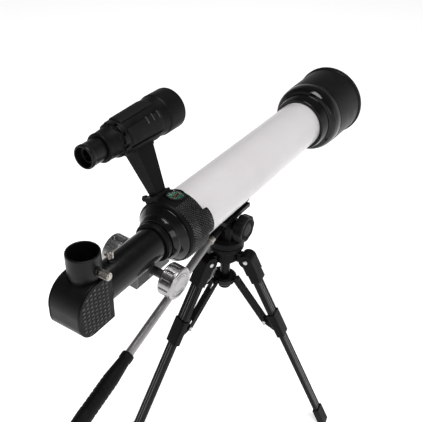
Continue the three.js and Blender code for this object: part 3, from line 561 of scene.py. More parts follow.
def build_lens_cell():
    matrix, radius, rear, front = centred_along_y("lens_cell")
    bore = box_of("main_tube")[1].x - matrix.translation.x + TUBE_CLEARANCE
    lip = rear + 14
    shoulder = rear + 31.2
    profile = [
        (bore, rear), (radius - 9.2, rear),
        *under(radius, lip, (7, -1.4), (7, -0.4), (3.4, 0.6), (1.2, 4.6), (0.2, 10)),
        (radius, shoulder), (radius - 3, shoulder),
        *under(radius, front, (3, 0), (7, 0), (7, -11.7), (10, -11.7), (10, -18), (14, -18),
               (14, -21)),
        (bore, front - 21),
    ]
    stand_in("lens_cell", turned(profile, 0.9), sharp=50)
    ring = under(radius, front - 4, (11.5, -3), (7.2, -3), (7.2, 0), (10.2, 0))
    add_piece("lens_retaining_ring", turned(ring, 0.3), "lens_cell", "black_plastic_satin")


def lens(radius, rear, front, rear_bulge, front_bulge):
    """Solid lens outline with two shallow curves."""
    rings = 10
    back = [(radius * i / rings, rear - rear_bulge * (1 - (i / rings) ** 2))
            for i in range(rings + 1)]
    face = [(radius * i / rings, front + front_bulge * (1 - (i / rings) ** 2))
            for i in range(rings, -1, -1)]
    return turned(back + face, 0.05)


def build_objective():
    _, radius, rear, front = centred_along_y("objective_lens")
    stand_in("objective_lens", lens(radius, rear + 1.6, front - 2, 1.6, 2), sharp=60)


def build_dew_shade():
    _, radius, rear, front = centred_along_y("dew_shade")
    spigot = radius - 5.7
    threads = 9
    inside = []
    for index in range(threads):
        place = front - 4 - index * 3.4
        inside += [(radius - 2.5 - 0.035 * index, place), (radius - 3.1 - 0.035 * index, place - 1.7)]
    profile = [
        (spigot, rear), (radius - 2.6, rear),
        *under(radius, front, (1.8, -3.5), (0, -3), (0, 0), (2.2, 0)), *inside,
        (radius - 3.4, rear + 9), (spigot, rear + 8),
    ]
    stand_in("dew_shade", turned(profile, 0.45), sharp=50)


# ---- focuser ----
DRAW_CLEARANCE = 15.7            # inner radius of the rings that the drawtube slides through
RING_BORE = 20.4                 # inner radius of the housing in front of them
TUBE_CLEARANCE = 0.3             # between the white tube and what fits over it
COLLAR_SWELL = 0.9               # by how much the collar widens towards its front
RACK_ANGLE = -95                 # where the rack lies round the tube, degrees from +X
RACK_HALF_ANGLE = 11


def rack_gap():
    return RACK_ANGLE + RACK_HALF_ANGLE, RACK_ANGLE - RACK_HALF_ANGLE + 360


def compass_pocket():
    """Relief that sinks the compass's seat into the top of the collar, its edge under the rim."""
    low, high = box_of("compass_dial")
    centre = (low + high) / 2
    under_rim = 0.6
    seat = (high.x - low.x) / 2 + under_rim

    def relief(angle, radius, distance):
        across = radius * math.cos(angle) - centre.x
        on_top = math.sin(angle) > 0.5
        if not on_top or math.hypot(across, distance - centre.y) > seat:
            return radius
        return min(radius, low.z / math.sin(angle))
    return relief


PAD_ANGLE = 18                   # middle of the clamp pad, degrees from +X
PAD_HALF_ANGLE = 22
SMOOTH_FROM = 70                 # the collar is smooth from here, round the compass and stalk,
SMOOTH_TO = 152                  # to here, degrees from +X


def build_focuser_housing():
    low, high = box_of("focuser_housing")
    rear = low.y
    collar = -low.x
    ledge = rear + 12.7
    front = high.y - 5.5
    rings = [
        (DRAW_CLEARANCE, rear),
        *under(collar, rear, (11.4, 0), (8.8, 4.4), (8.8, 6), (8.4, 6.2)),
        *under(collar, ledge, (3.4, -1.2), (3.4, -0.3)), (RING_BORE, ledge - 0.3),
        (RING_BORE, rear + 9.7), (DRAW_CLEARANCE, rear + 9.7),
    ]
    add_piece("focuser_rings", turned(rings, 0.5, arc=rack_gap()), "focuser_housing",
              "black_plastic_gloss", sharp=45)
    tube_bore = box_of("main_tube")[1].x + TUBE_CLEARANCE
    seat = front - 13.8
    rows = 20
    start = ledge + 3.2
    swell = [(collar - COLLAR_SWELL + COLLAR_SWELL * row / rows,
              start + (front - start) * row / rows) for row in range(rows + 1)]
    barrel = [(RING_BORE, ledge), (collar - 2.6, ledge), (collar - 1.2, ledge + 1.5), *swell,
              (tube_bore, front), (tube_bore, seat), (RING_BORE, seat)]
    stand_in("focuser_housing", turned(barrel, 0.3, 208, relief=compass_pocket()), sharp=45)
    pad = [(tube_bore, front - 9), (collar - 0.4, front - 12), (collar + 1.4, front - 6),
           (high.x, front), (high.x, high.y), (tube_bore, high.y)]
    arc = (PAD_ANGLE - PAD_HALF_ANGLE, PAD_ANGLE + PAD_HALF_ANGLE)
    add_piece("clamp_pad", turned(pad, 1.2, 32, arc=arc, relief=pad_crown(collar)),
              "focuser_housing", bevel=0.9)
    build_collar_knurl(collar, ledge + 4.5, front - 1, pad[1:5])


def pad_crown(collar):
    """Relief that lets the clamp pad die away into the collar at both its ends."""
    fall = 0.85

    def relief(angle, radius, _):
        share = abs(math.degrees(angle) - PAD_ANGLE) / PAD_HALF_ANGLE
        return radius - fall * max(radius - collar, 0) * min(share, 1) ** 3
    return relief


def build_collar_knurl(collar, rear, front, pad):
    """Diamonds pressed into the collar and its clamp pad, clear of the compass and the stalk.

    pad is the outline over the top of the clamp pad, as (radius, distance) pairs.
    """
    pitch = 2.7
    margin = 1.2
    pad_heights, pad_places = zip(*pad)
    pad_front = pad_places[-1] - margin
    count = int(math.tau * collar / pitch)
    crown = pad_crown(collar)
    knurled_swell = 0.75

    def surface(angle, distance, on_pad):
        swollen = collar - knurled_swell * (front - distance) / (front - rear)
        if not on_pad:
            return swollen
        return max(swollen, crown(angle, np.interp(distance, pad_places, pad_heights), distance))

    studs = []
    for row in range(int((pad_front - rear) / pitch * 2)):
        distance = rear + row * pitch / 2
        for column in range(count):
            degrees = (column + 0.5 * (row % 2)) * 360 / count - 90
            angle = math.radians(degrees)
            on_pad = abs(degrees - PAD_ANGLE) < PAD_HALF_ANGLE - 2
            if SMOOTH_FROM < degrees < SMOOTH_TO or (distance > front and not on_pad):
                continue
            outward = Vector((math.cos(angle), 0, math.sin(angle)))
            slope = surface(angle, distance + 0.5, on_pad) - surface(angle, distance - 0.5, on_pad)
            ahead = FORWARD + outward * slope
            normal = outward - FORWARD * slope
            place = outward * surface(angle, distance, on_pad) + FORWARD * distance
            studs.append(stud(place, normal, ahead, pitch * 0.85, pitch * 0.6, 0.6))
    # diamonds in the grip finish, their light edges a painted highlight
    add_piece("collar_knurl", together(*studs), "focuser_housing", "grip", sharp=20)


def screw_head(radius, height):
    """Domed screw head with a slim raised cross, facing +Y."""
    dome = [(0, -0.6), (radius, -0.6), (radius, height * 0.4), (radius * 0.6, height),
            (0, height * 1.05)]
    slot = radius * 0.62
    cross = [brick((-slot, height * 0.7, -0.16 * radius), (slot, height * 1.08, 0.16 * radius)),
             brick((-0.16 * radius, height * 0.7, -slot), (0.16 * radius, height * 1.08, slot))]
    return together(turned(dome, 0.2, 24), *cross)


def build_stop_ring():
    _, radius, rear, front = centred_along_y("drawtube_stop_ring")
    ring = [(DRAW_CLEARANCE, rear), (radius - 1, rear), (radius, rear + 1), (radius, front),
            (DRAW_CLEARANCE, front)]
    stand_in("drawtube_stop_ring", turned(ring, 0.35, arc=rack_gap()))


def build_compass():
    low, high = box_of("compass_dial")
    centre = (low + high) / 2
    radius = (high.x - low.x) / 2
    face = low.z + 0.7
    upright = toward((0, 0, 1), (centre.x, centre.y, 0))
    top = box_of("focuser_housing")[1].z
    rim = band(radius + 0.1, radius + 1.1, 26.5, top)
    add_piece("compass_rim", moved(turned(rim, 0.35, 64), upright), "focuser_housing",
              "black_plastic_satin")
    dial = band(0, radius, low.z, face)
    post = band(0, 0.5, face - 0.2, high.z)
    stand_in("compass_dial", moved(together(turned(dial, 0.1, 64), turned(post, 0.15, 24)),
                                   upright))
    marks = []
    mark_count = 36
    for index in range(mark_count):
        long_mark = index % 9 == 0       # at the four quarters
        reach = radius - (2.3 if long_mark else 1.2)
        width = 0.28 if long_mark else 0.11
        mark = brick((reach, -width, face - 0.05), (radius - 0.35, width, face + 0.06))
        marks.append(moved(mark, Matrix.Rotation(index * math.tau / mark_count, 4, "Z")))
    place = Matrix.Translation((centre.x, centre.y, 0))
    add_piece("compass_marks", moved(together(*marks), place), "compass_dial", "print_white")
    glass_low, glass_high = box_of("compass_glass")
    glass = [(0, glass_low.z), (radius - 0.1, glass_low.z), (radius - 0.1, glass_high.z - 0.3),
             (radius * 0.6, glass_high.z - 0.05), (0, glass_high.z)]
    stand_in("compass_glass", moved(turned(glass, 0.2, 64), upright), sharp=60)


def build_drawtube():
    _, radius, rear, front = centred_along_y("drawtube")
    inner = radius - 1.5
    tube = turned(band(inner, radius, rear, front), 0.35)
    screw = joint_point("nosepiece_screw_turn")
    boss = band(1.6, 3.4, radius - 0.6, radius + 1.8)
    place = toward((0, 0, 1), (screw.x, screw.y, 0))
    stand_in("drawtube", together(tube, moved(turned(boss, 0.3, 32), place)))


def build_rack_and_pinion():
    """The rack, the shaft and the moulded housing with shallow ribs along both its sides."""
    soften("focus_rack", 0.2)
    soften("pinion_shaft", 0.2)
    node = "pinion_housing"
    soften(node, 0.4, "cast_grey")
    roll = Matrix.Rotation(math.radians(RACK_ANGLE + 90), 4, "Y").inverted()
    rear = box_of(node)[0].y
    lowest, pitch = -27.6, 2.3
    right_face, left_face = 7.4, -5.0
    ribs = []
    for index in range(5):
        height = lowest + index * pitch
        for face in (right_face, left_face):
            ribs.append(brick((face - 0.3, rear + 2, height - 0.5),
                              (face + 0.35, rear + 17, height + 0.5)))
    add_piece("pinion_housing_ribs", moved(together(*ribs), roll), node, "cast_grey", bevel=0.2)


# ---- knobs and thumbscrews ----
KNOB_LENGTH = 14.5
KNOB_PANELS = 11


def knob_relief(radius):
    """Smooth convex panels parted by narrow stepped grooves that stop short of both rims."""
    rear_rim = 1.8
    front_rim = KNOB_LENGTH - 3.2
    half_groove = 0.13           # share of a panel
    groove_depth = 1.6
    crown_height = 0.25

    def relief(angle, reach, distance):
        if reach < radius - 2.0:
            return reach
        along = min(distance - rear_rim, front_rim - distance)
        depth_here = min(max(along / 0.5, 0), 1)
        turn = (angle * KNOB_PANELS / math.tau) % 1
        off_middle = abs(turn - 0.5) * 2
        groove = min(max((off_middle - (1 - half_groove * 2)) / 0.1, 0), 1)
        crown = crown_height * off_middle ** 2
        return reach - depth_here * (crown + groove_depth * groove)
    return relief


def build_knob(side):
    node = f"focus_knob_{side}"
    low, high = box_of(node)
    radius = (high.y - low.y) / 2
    outward = joint_way("focus_turn") * (1 if side == "right" else -1)
    axis = toward(outward, joint_point("focus_turn"))
    middle = (axis.inverted() @ ((low + high) / 2)).y
    start = middle - KNOB_LENGTH / 2
    wall = [(radius, 1 + step * (KNOB_LENGTH - 2) / 30) for step in range(31)]
    face = KNOB_LENGTH
    bore = 1.55
    profile = [
        (bore, 0), (radius - 1, 0), *wall,
        *under(radius, face, (1, 0), (3, 0), (3.6, -1.2), (4.6, -1.2), (5.2, -0.4), (6.6, -0.4),
               (7.2, -1.2), (8, -0.4)),
        (0, face - 0.35), (0, face - 1.3), (bore, face - 1.3),
    ]
    shape = turned(profile, 0.3, 264, relief=knob_relief(radius))
    stand_in(node, moved(shape, axis @ Matrix.Translation((0, start, 0))), sharp=45)


def build_knobs():
    build_knob("right")
    build_knob("left")


def thumbscrew(shank, radius, length, ridges):
    """Knurled head on a plain shank along +Y, as the CAD thumbscrews are drawn."""
    tip = shank + length
    head = [(0, shank), (radius, shank), (radius, shank + length * 0.2),
            (radius, shank + length * 0.8), (radius, tip), (0, tip)]
    knurl = ridged(ridges, 0.5)
    neck = [(0, 0), (1.5, 0), (1.5, shank - 0.8), (radius - 1.2, shank - 0.8),
            (radius - 1.2, shank + 0.3), (0, shank + 0.3)]
    button = band(0, radius - 1.2, tip - 0.2, tip + 0.6)
    return together(turned(head, 0.4, ridges * 8, relief=knurl), turned(neck, 0.2, 40),
                    turned(button, 0.3, 40))


def build_thumbscrews():
    for name, outward, shank, length, ridges in (
            ("eyepiece", Vector((1, 0, 0)), 4.4, 8.6, 18),
            ("nosepiece", Vector((0, 0, 1)), 3.5, 6.2, 16)):
        node = f"{name}_thumbscrew"
        low, high = box_of(node)
        end = joint_point(f"{name}_screw_turn")
        end += outward * (low - end).dot(outward)
        shape = thumbscrew(shank, (high.y - low.y) / 2, length, ridges)
        stand_in(node, moved(shape, toward(outward, end)))


# ---- diagonal ----
def cover_outline():
    """Outline of the diagonal's side covers in Y and Z, from the CAD cover."""
    points, faces = from_cad("diagonal_cover_right")
    widest = max(faces, key=len)
    return [(points[index].y, points[index].z) for index in widest]


def inside(outline, y, z, margin):
    """True where a point lies inside an outline by at least the margin."""
    crossings = False
    for (y0, z0), (y1, z1) in zip(outline, outline[1:] + outline[:1]):
        if (z0 > z) != (z1 > z) and y < (y1 - y0) * (z - z0) / (z1 - z0) + y0:
            crossings = not crossings
        edge = np.array((y1 - y0, z1 - z0))
        offset = np.array((y - y0, z - z0))
        share = min(max(offset @ edge / (edge @ edge), 0), 1)
        if np.linalg.norm(offset - share * edge) < margin:
            return False
    return crossings


COVER_PITCH_Y = 4.4              # between the columns of lozenges on the side covers
COVER_PITCH_Z = 3.8              # between the lozenges of one column
LOZENGE_WAY = (0, 0.93, 0.52)
LOZENGE = (4.5, 2.3, 0.7)        # length, width and height
COVER_BORDER = 2.4


def build_covers():
    """Side covers with columns of slanted lozenges, every other column half a pitch down."""
    outline = cover_outline()
    for side, outward in (("right", 1), ("left", -1)):
        node = f"diagonal_cover_{side}"
        soften(node, 0.45)
        low, high = box_of(node)
        face = high.x if outward > 0 else low.x
        studs = []
        for column in range(int((high.y - low.y) / COVER_PITCH_Y) + 1):
            for row in range(int((high.z - low.z) / COVER_PITCH_Z) + 2):
                y = low.y + 1 + column * COVER_PITCH_Y
                z = low.z + (row - 0.5 * (column % 2)) * COVER_PITCH_Z
                if inside(outline, y, z, COVER_BORDER):
                    studs.append(stud((face, y, z), (outward, 0, 0), LOZENGE_WAY, *LOZENGE))
        # lozenges in the knurled finish, their light tops a painted highlight
        add_piece(f"{node}_knurl", together(*studs), node, "knurled", sharp=20)


def build_diagonal():
    soften("diagonal_body", 0.35)
    build_covers()
    low, high = box_of("eyepiece_socket")
    radius = (high.y - low.y) / 2
    top = high.z
    bore = radius - 1.5
    socket = [
        (bore, low.z), *under(radius, low.z, (0.4, 0), (0.4, 3.4), (0, 4.2)),
        *under(radius, top, (0, -0.8), (0.5, 0)), (bore + 0.3, top), (bore, top - 0.5),
    ]
    screw = joint_point("eyepiece_screw_turn")
    boss = band(1.7, 4.0, bore + 0.7, high.x)
    sideways = toward((1, 0, 0), (0, 0, screw.z))
    shapes = together(moved(turned(socket, 0.25), toward((0, 0, 1), (0, 0, 0))),
                      moved(turned(boss, 0.3, 88, relief=ridged(22, 0.35)), sideways))
    stand_in("eyepiece_socket", shapes)


# ---- finder ----
def build_finder():
    matrix, radius, rear, front = centred_along_y("finder_body")
    body = [
        *under(radius, rear, (6.4, 0), (4.2, 0), (3.4, 1.5), (2.8, 18.5), (1.4, 46.5), (0.8, 55),
               (0, 56.1)),
        *under(radius, front, (0, -1), (0.6, 0), (1.6, 0)),
        *under(radius, rear, (1.6, 64), (3.2, 64), (5.6, 18.5), (6.4, 18.5)),
    ]
    stand_in("finder_body", moved(turned(body, 0.5), matrix), sharp=45)
    build_finder_mouldings(matrix, radius, rear)

    _, radius, rear, front = centred_along_y("finder_rear_barrel")
    inner = radius - 4.4
    notches = ridged(16, 0.9)

    def castellated(angle, reach, distance):
        return notches(angle, reach, distance) if reach > radius - 0.6 else reach
    barrel = [
        (inner, rear),
        *under(radius, rear, (2.4, 0), (1.6, 0.8), (1.6, 3.2), (1.9, 4), (1.1, 15), (0, 15.3),
               (0, 20.2), (1.7, 20.4)),
        (radius - 1.7, front), (inner, front),
    ]
    stand_in("finder_rear_barrel", moved(turned(barrel, 0.4, 160, relief=castellated), matrix),
             sharp=45)

    _, radius, rear, front = centred_along_y("finder_eyepiece")
    tube = radius - 0.5
    cup = [
        *under(radius, rear, (1.8, 0), (0.6, 0), (0, 1), (0, 3.2)),
        (tube, rear + 5), (tube, front), (tube - 1.5, front),
        *under(tube, rear, (1.5, 11.3), (2.1, 11.3), (2.1, 10.2)), (radius - 1.8, rear + 7),
    ]
    stand_in("finder_eyepiece", moved(turned(cup, 0.5), matrix), sharp=50)

    field = [(5.4, rear + 5), (tube - 1.2, rear + 5), (tube - 1.2, rear + 8), (6, rear + 8)]
    add_piece("finder_field_ring", moved(turned(field, 0.4), matrix), "finder_eyepiece", sharp=50)

    for node, back, face in (("finder_eye_lens", 0.5, 1), ("finder_objective", 0.3, 1.6)):
        _, radius, rear, front = centred_along_y(node)
        shape = lens(radius, rear + back, front - face, back, face)
        stand_in(node, moved(shape, matrix), sharp=60)


def arcs(outline, bevel, steps, spans):
    """The same profile turned over several arcs."""
    return together(*[turned(outline, bevel, steps, arc=span) for span in spans])


def build_finder_mouldings(matrix, radius, rear):
    """Grip panels along the body, three short ribs on the side and teeth at the rear."""
    panel = under(radius, rear, (3.1, 3), (2, 4.5), (0.75, 42), (1.2, 46), (3, 46))
    half_width = 24
    panels = arcs(panel, 0.6, 20, [(middle - half_width, middle + half_width)
                                   for middle in range(20, 360, 75)])
    add_piece("finder_grips", moved(panels, matrix), "finder_body", "rubber", bevel=0.5)
    ribs = []
    for index in range(3):
        rib = under(radius, rear + 26 + index * 7.6, (2.9, 0), (0.3, 0.2), (0.3, 1.1), (2.9, 1.4))
        ribs.append(turned(rib, 0.2, 14, arc=(28, 48)))
    # ribs in the knurled finish, lighter as a painted highlight
    add_piece("finder_ribs", moved(together(*ribs), matrix), "finder_body", "knurled", bevel=0.2)
    tooth = under(radius, rear, (6.2, -2.6), (3.8, -2.6), (3.2, 3), (5, 3))
    teeth = arcs(tooth, 0.3, 10, [(start + 4, start + 30) for start in range(0, 360, 40)])
    add_piece("finder_rear_teeth", moved(teeth, matrix), "finder_body", "black_plastic_satin",
              bevel=0.3)


def build_stalk():
    soften("finder_stalk", 0.6, "dull_moulding")
    screw = joint_axis("finder_clamp_turn")
    head = thumbscrew(2.2, 3.0, 4.2, 16)
    back = screw @ Matrix.Rotation(math.pi, 4, "X")
    stand_in("finder_clamp_screw", moved(head, back))


# ---- head and handle ----
def build_head():
    soften("saddle_bar", 0.7)
    soften("head_platform", 0.7)
    soften("head_fork", 0.7, "dull_moulding")
    build_tilt_knob()
    build_tilt_bolt()
    build_handle()


TILT_BOLT_R = 3.0


def build_tilt_knob():
    low, high = box_of("tilt_knob")
    axis = joint_axis("tilt_lock")
    collar = low.x - axis.translation.x
    outer = high.x - axis.translation.x
    inner = outer - 10.5
    lobe = 0.5
    lobes = 8
    radius = (high.y - low.y) / 2 - lobe

    def lobed(angle, reach, _):
        return reach + lobe * math.cos(lobes * angle) if reach > radius - 1.6 else reach
    side = [(radius, inner + 1 + step * 8.5 / 10) for step in range(11)]
    bore = TILT_BOLT_R + 0.1
    grip = [
        (bore, collar), (6, collar), (6, inner), (radius - 1.2, inner), *side,
        *under(radius, outer, (1.2, 0), (2.8, 0), (3.4, -0.9), (6.9, -0.9), (7.4, -0.2)),
        (0, outer), (0, outer - 2.7), (bore, outer - 2.7),
    ]
    ribs = []
    rib_count = 28
    for index in range(rib_count):
        rib = brick((radius - 6.7, outer - 1.1, -0.24), (radius - 3.7, outer - 0.35, 0.24))
        ribs.append(moved(rib, Matrix.Rotation(index * math.tau / rib_count, 4, "Y")))
    shapes = together(turned(grip, 0.7, 160, relief=lobed), *ribs)
    stand_in("tilt_knob", moved(shapes, axis), sharp=45)


def build_tilt_bolt():
    low, high = box_of("tilt_bolt")
    axis = joint_axis("tilt_lock")
    start = low.x - axis.translation.x
    end = high.x - axis.translation.x
    reach = 5.2
    hexagon = [(reach * math.cos(step * math.pi / 3), reach * math.sin(step * math.pi / 3))
               for step in range(6)]
    shank = rod(TILT_BOLT_R, start + 1, end, 0.4, 48)
    stand_in("tilt_bolt", moved(together(slab(hexagon, start, start + 3), shank), axis),
             bevel=0.3)


HANDLE_R = 4.2
HANDLE_ROOT = 14.5               # places along the handle from its joint
FERRULE_START = 26.3
FERRULE_END = 32
GRIP_START = 172
GRIP_END = 260


def build_handle():
    axis = joint_axis("handle_twist")
    radius = HANDLE_R
    rod_end = GRIP_START + 20
    stand_in("handle_rod", moved(rod(radius, HANDLE_ROOT, rod_end, 0.4, 64), axis))
    ferrule = band(radius, radius + 1.2, FERRULE_START, FERRULE_END)
    add_piece("handle_ferrule", moved(turned(ferrule, 0.35, 64), axis), "handle_rod", "chrome")
    grooves = []
    for index in range(7):
        place = GRIP_START + 30 + index * 5
        grooves += [(7.5, place), (7.0, place + 0.8), (7.5, place + 1.6)]
    grip = [
        (radius + 0.05, GRIP_START), (5.6, GRIP_START), (6.3, GRIP_START + 1.5),
        (6.3, GRIP_START + 7), (5.7, GRIP_START + 8), (7.4, GRIP_START + 28), *grooves,
        (7.6, GRIP_END - 20), (7, GRIP_END - 6), (5, GRIP_END - 1), (0, GRIP_END),
        (0, GRIP_START + 20.3), (radius + 0.05, GRIP_START + 20.3),
    ]
    stand_in("handle_grip", moved(turned(grip, 0.6), axis), sharp=50)


# ---- tripod ----
def leg_matrix(index):
    """Leg frame: +Z up the leg from its pivot, +Y out of the tripod, +X along the rivet."""
    side = joint_way(f"leg_{index}_fold")
    up = -joint_way(f"leg_{index}_extend")
    matrix = Matrix((side, up.cross(side), up)).transposed().to_4x4()
    matrix.translation = joint_point(f"leg_{index}_fold")
    return matrix


def extent(node, matrix):
    """Lowest and highest corner of a CAD node in the axes of a matrix."""
    back = matrix.inverted()
    points = [back @ point for point in from_cad(node)[0]]
    low = Vector([min(point[axis] for point in points) for axis in range(3)])
    high = Vector([max(point[axis] for point in points) for axis in range(3)])
    return low, high


def up_the_leg(matrix):
    """Matrix for shapes drawn with their outline in the leg's X and Y and carried up it."""
    return matrix @ toward((0, 0, 1), (0, 0, 0))


def across_the_leg(matrix):
    """Matrix that takes the +Y axis to the leg's X, along the rivet."""
    return matrix @ toward((1, 0, 0), (0, 0, 0))


def build_channel(node, matrix):
    """Drawn leg section, open to the inside, with two rails and two ridges on its face, coloured light as painted
    highlight streaks.
    """
    low, high = extent(node, matrix)
    half = high.x
    face = high.y
    web = face - 0.75            # inside of the face
    valley = face - 0.35         # floor between the rails
    rail = half - 1.9
    edge = half - 1.0
    right = [(edge, web), (edge, low.y), (half, low.y), (half, face), (rail, face),
             (rail, valley)]
    left = [(-x, y) for x, y in reversed(right)]
    outline = rounded(right + left, 0.32, True)
    stand_in(node, moved(slab(outline, low.z, high.z), up_the_leg(matrix)), sharp=50)
    # the ridges' light colour is a painted highlight streak along the leg
    ridges = []
    for middle in (-1.7, 1.7):
        ridge = [(middle - 0.55, valley - 0.1), (middle + 0.55, valley - 0.1),
                 (middle + 0.4, face - 0.02), (middle - 0.4, face - 0.02)]
        ridges.append(slab(rounded(ridge, 0.12, True), low.z + 0.5, high.z - 0.5))
    add_piece(f"{node}_ridges", moved(together(*ridges), up_the_leg(matrix)), node, "ridge_painted_highlight")


def build_leg_collar(name, matrix):
    """Rounded sleeve over the two leg sections, with the brace's bracket behind it."""
    node = f"{name}_collar"
    low, high = extent(node, matrix)
    pin = matrix.inverted() @ joint_point(f"{name}_brace_pivot")
    wall = 1.5
    half = high.x
    back = -high.y
    outside = oblong(half, back, high.y, 2.4)
    hollow = oblong(half - wall, back + wall, high.y - wall, 0.6)
    body = sleeve(outside, hollow, low.z, high.z)
    bracket = [(4, high.z - 3), (-pin.y + 1, pin.z + 3.4), (-pin.y + 3.4, pin.z),
               (-pin.y + 1.5, pin.z - 3.2), (4, low.z + 1)]
    crosswise = across_the_leg(matrix)
    web = slab(rounded(bracket, 1.2, True), -2.2, 2.2)
    bar = moved(rod(1.5, -4.4, 4.4, 0.2, 24), Matrix.Translation((-pin.y, 0, pin.z)))
    shapes = together(moved(body, up_the_leg(matrix)), moved(web, crosswise),
                      moved(bar, crosswise))
    stand_in(node, shapes, "dull_moulding", bevel=0.3)


def build_leg(index):
    name = f"leg_{index}"
    matrix = leg_matrix(index)
    soften(f"{name}_cap", 1.3, "dull_moulding")
    soften(f"{name}_foot", 1.0)
    soften(f"{name}_brace", 0.6)
    build_channel(f"{name}_upper", matrix)
    build_channel(f"{name}_lower", matrix)
    build_leg_collar(name, matrix)
    build_rivet(name, matrix)
    build_cap_screw(name, matrix)
    build_brace_detail(index)


def build_rivet(name, matrix):
    reach = 9.4
    crosswise = across_the_leg(matrix)
    head = [(0, reach - 1.3), (2.6, reach - 1.3), (2.6, reach - 0.9), (1.8, reach - 0.2), (0, reach)]
    other = [(radius, -distance) for radius, distance in reversed(head)]
    pin = rod(2.0, 1.0 - reach, reach - 1.0, 0.1, 32)
    stand_in(f"{name}_rivet", moved(together(turned(head, 0.3, 40), turned(other, 0.3, 40), pin),
                                    crosswise))


def build_cap_screw(name, matrix):
    place = matrix @ toward((0, 1, 0), (0, 5.2, -11))
    add_piece(f"{name}_cap_screw", moved(screw_head(1.5, 0.7), place), f"{name}_cap", "steel")


HUB_REACH = 14.5                 # from the column's middle to where a brace meets the hub


def build_brace_detail(index):
    """Diamonds along the top of the brace, and the bright heads of the collar's pin beside it."""
    name = f"leg_{index}_brace"
    outer = joint_point(f"leg_{index}_brace_pivot")
    side = joint_way(f"leg_{index}_fold")
    hub_low, hub_high = box_of("brace_hub")
    outward = Vector((-side.y, side.x, 0))
    column = joint_point("pan")
    inner = Vector((column.x, column.y, (hub_low.z + hub_high.z) / 2)) + outward * HUB_REACH
    ahead = (inner - outer).normalized()
    top = side.cross(ahead)
    if top.z < 0:
        top = -top
    studs = []
    first, last = 9, 4
    surface = 2.5
    pitch = 2.1
    for row in range(int(((inner - outer).length - first - last) / (pitch / 2))):
        for column_index in range(3 + row % 2):
            across = (column_index - (2 + row % 2) / 2) * pitch
            place = outer + ahead * (first + row * pitch / 2) + side * across + top * surface
            studs.append(stud(place, top, ahead, pitch * 0.85, pitch * 0.75, 0.35))
    add_piece(f"{name}_knurl", together(*studs), name, sharp=20)
    beside = 4.2
    head = turned([(0, 0), (1.9, 0), (1.9, 0.35), (1.1, 0.7), (0, 0.75)], 0.15, 32)
    heads = [moved(head, toward(side * way, outer + side * (way * beside))) for way in (1, -1)]
    add_piece(f"{name}_pin_heads", together(*heads), f"leg_{index}_collar", "steel")


def build_tripod():
    soften("tripod_hub", 0.6, "dull_moulding")
    soften("brace_hub", 0.5)
    soften("tripod_column", 0.3)
    for index in (1, 2, 3):
        build_leg(index)


# ---- pieces whose CAD shape stays ----
def dress_frame():
    """Gives every CAD node the finish of its material slot."""
    for node, cad_object in frame["nodes"].items():
        material = FINISHES[SLOT_OF[node]].material
        cad_object.data.materials.clear()
        cad_object.data.materials.append(material)


# ---- stage ----
CAMERA_PLACE = Vector((288.06, -272.54, 342.63))
CAMERA_HEADING = math.radians(32.64)     # from +Y towards -X
CAMERA_DIP = math.radians(34.06)
CAMERA_ROLL = math.radians(1.17)
CAMERA_LENS = 55.45


def make_camera():
    camera = add_object("camera", bpy.data.cameras.new("camera"))
    camera.data.sensor_width = 36
    camera.data.lens = CAMERA_LENS
    camera.data.clip_start = 0.01
    camera.data.clip_end = 20
    turn = (Matrix.Rotation(CAMERA_HEADING, 4, "Z")
            @ Matrix.Rotation(math.pi / 2 - CAMERA_DIP, 4, "X")
            @ Matrix.Rotation(CAMERA_ROLL, 4, "Z"))
    camera.matrix_world = Matrix.Translation(REFERENCE + CAMERA_PLACE * MM) @ turn
    bpy.context.scene.camera = camera


def make_floor():
    side = 10.0
    below_feet = 0.0002
    bpy.ops.mesh.primitive_grid_add(x_subdivisions=8, y_subdivisions=8, size=side,
                                    location=(0, 0, -below_feet))
    floor = bpy.context.object
    floor.name = "floor"
    finish = mottled("floor_paper", (400.0,), (0.93, 0.93, 0.93), (0.95, 0.95, 0.95), (40.0,),
                     (0.9, 1.0))
    finish.fixed(Emission_Color=(1, 1, 1, 1), Emission_Strength=0.66)
    floor.data.materials.append(finish.material)


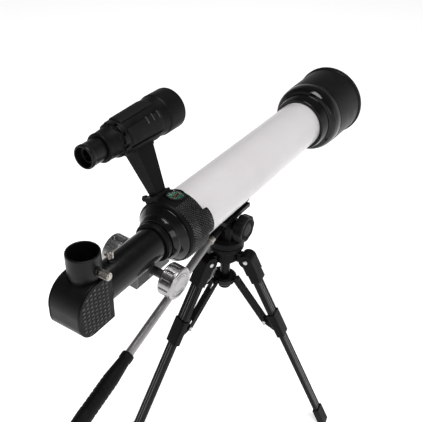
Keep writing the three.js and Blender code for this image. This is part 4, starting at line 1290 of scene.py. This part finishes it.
def make_light(name, place, target, size, power):
    """Square softbox that faces a target."""
    lamp = add_object(name, bpy.data.lights.new(name, "AREA"))
    lamp.data.size = size
    lamp.data.energy = power
    lamp.location = place
    lamp.rotation_euler = (Vector(target) - Vector(place)).to_track_quat("-Z", "Y").to_euler()


# axis, where along it the sky's strength starts and stops changing, strength before and after
SKY_FADES = (("Z", 0.12, 0.55, 0.85, 0.13), ("X", -0.9, 0.1, 0.3, 1.0))


def make_sky(world):
    """White studio sweep: bright round the horizon, dim overhead and on the far left."""
    nodes, links = world.node_tree.nodes, world.node_tree.links
    direction = nodes.new("ShaderNodeTexCoord")
    parts = nodes.new("ShaderNodeSeparateXYZ")
    links.new(direction.outputs["Generated"], parts.inputs["Vector"])
    total = nodes.new("ShaderNodeMath")
    total.operation = "MULTIPLY"
    for index, (axis, start, end, first, last) in enumerate(SKY_FADES):
        fade = nodes.new("ShaderNodeMapRange")
        set_inputs(fade, From_Min=start, From_Max=end, To_Min=first, To_Max=last)
        links.new(parts.outputs[axis], fade.inputs["Value"])
        links.new(fade.outputs["Result"], total.inputs[index])
    links.new(total.outputs["Value"], nodes["Background"].inputs["Strength"])
    nodes["Background"].inputs["Color"].default_value = (1, 1, 1, 1)


# name, place from the middle of the telescope, side of the softbox in metres, watts
LIGHTS = (("overhead", (0.1, -0.05, 1.5), 0.75, 18), ("key", (1.5, -0.7, 0.8), 0.8, 5))


def make_stage():
    low, high = cad_box
    middle = (low + high) / 2
    world = bpy.data.worlds.new("studio")
    world.use_nodes = True
    make_sky(world)
    bpy.context.scene.world = world
    bpy.context.scene.view_settings.view_transform = "Standard"
    for name, offset, size, power in LIGHTS:
        make_light(name, middle + Vector(offset), middle, size, power)
    make_floor()
    make_camera()


def main():
    dress_frame()
    for build in (build_main_tube, build_lens_cell, build_objective, build_dew_shade,
                  build_focuser_housing, build_stop_ring, build_compass, build_drawtube,
                  build_knobs, build_thumbscrews, build_diagonal, build_finder, build_stalk,
                  build_head, build_tripod, build_rack_and_pinion):
        build()
    make_stage()


main()
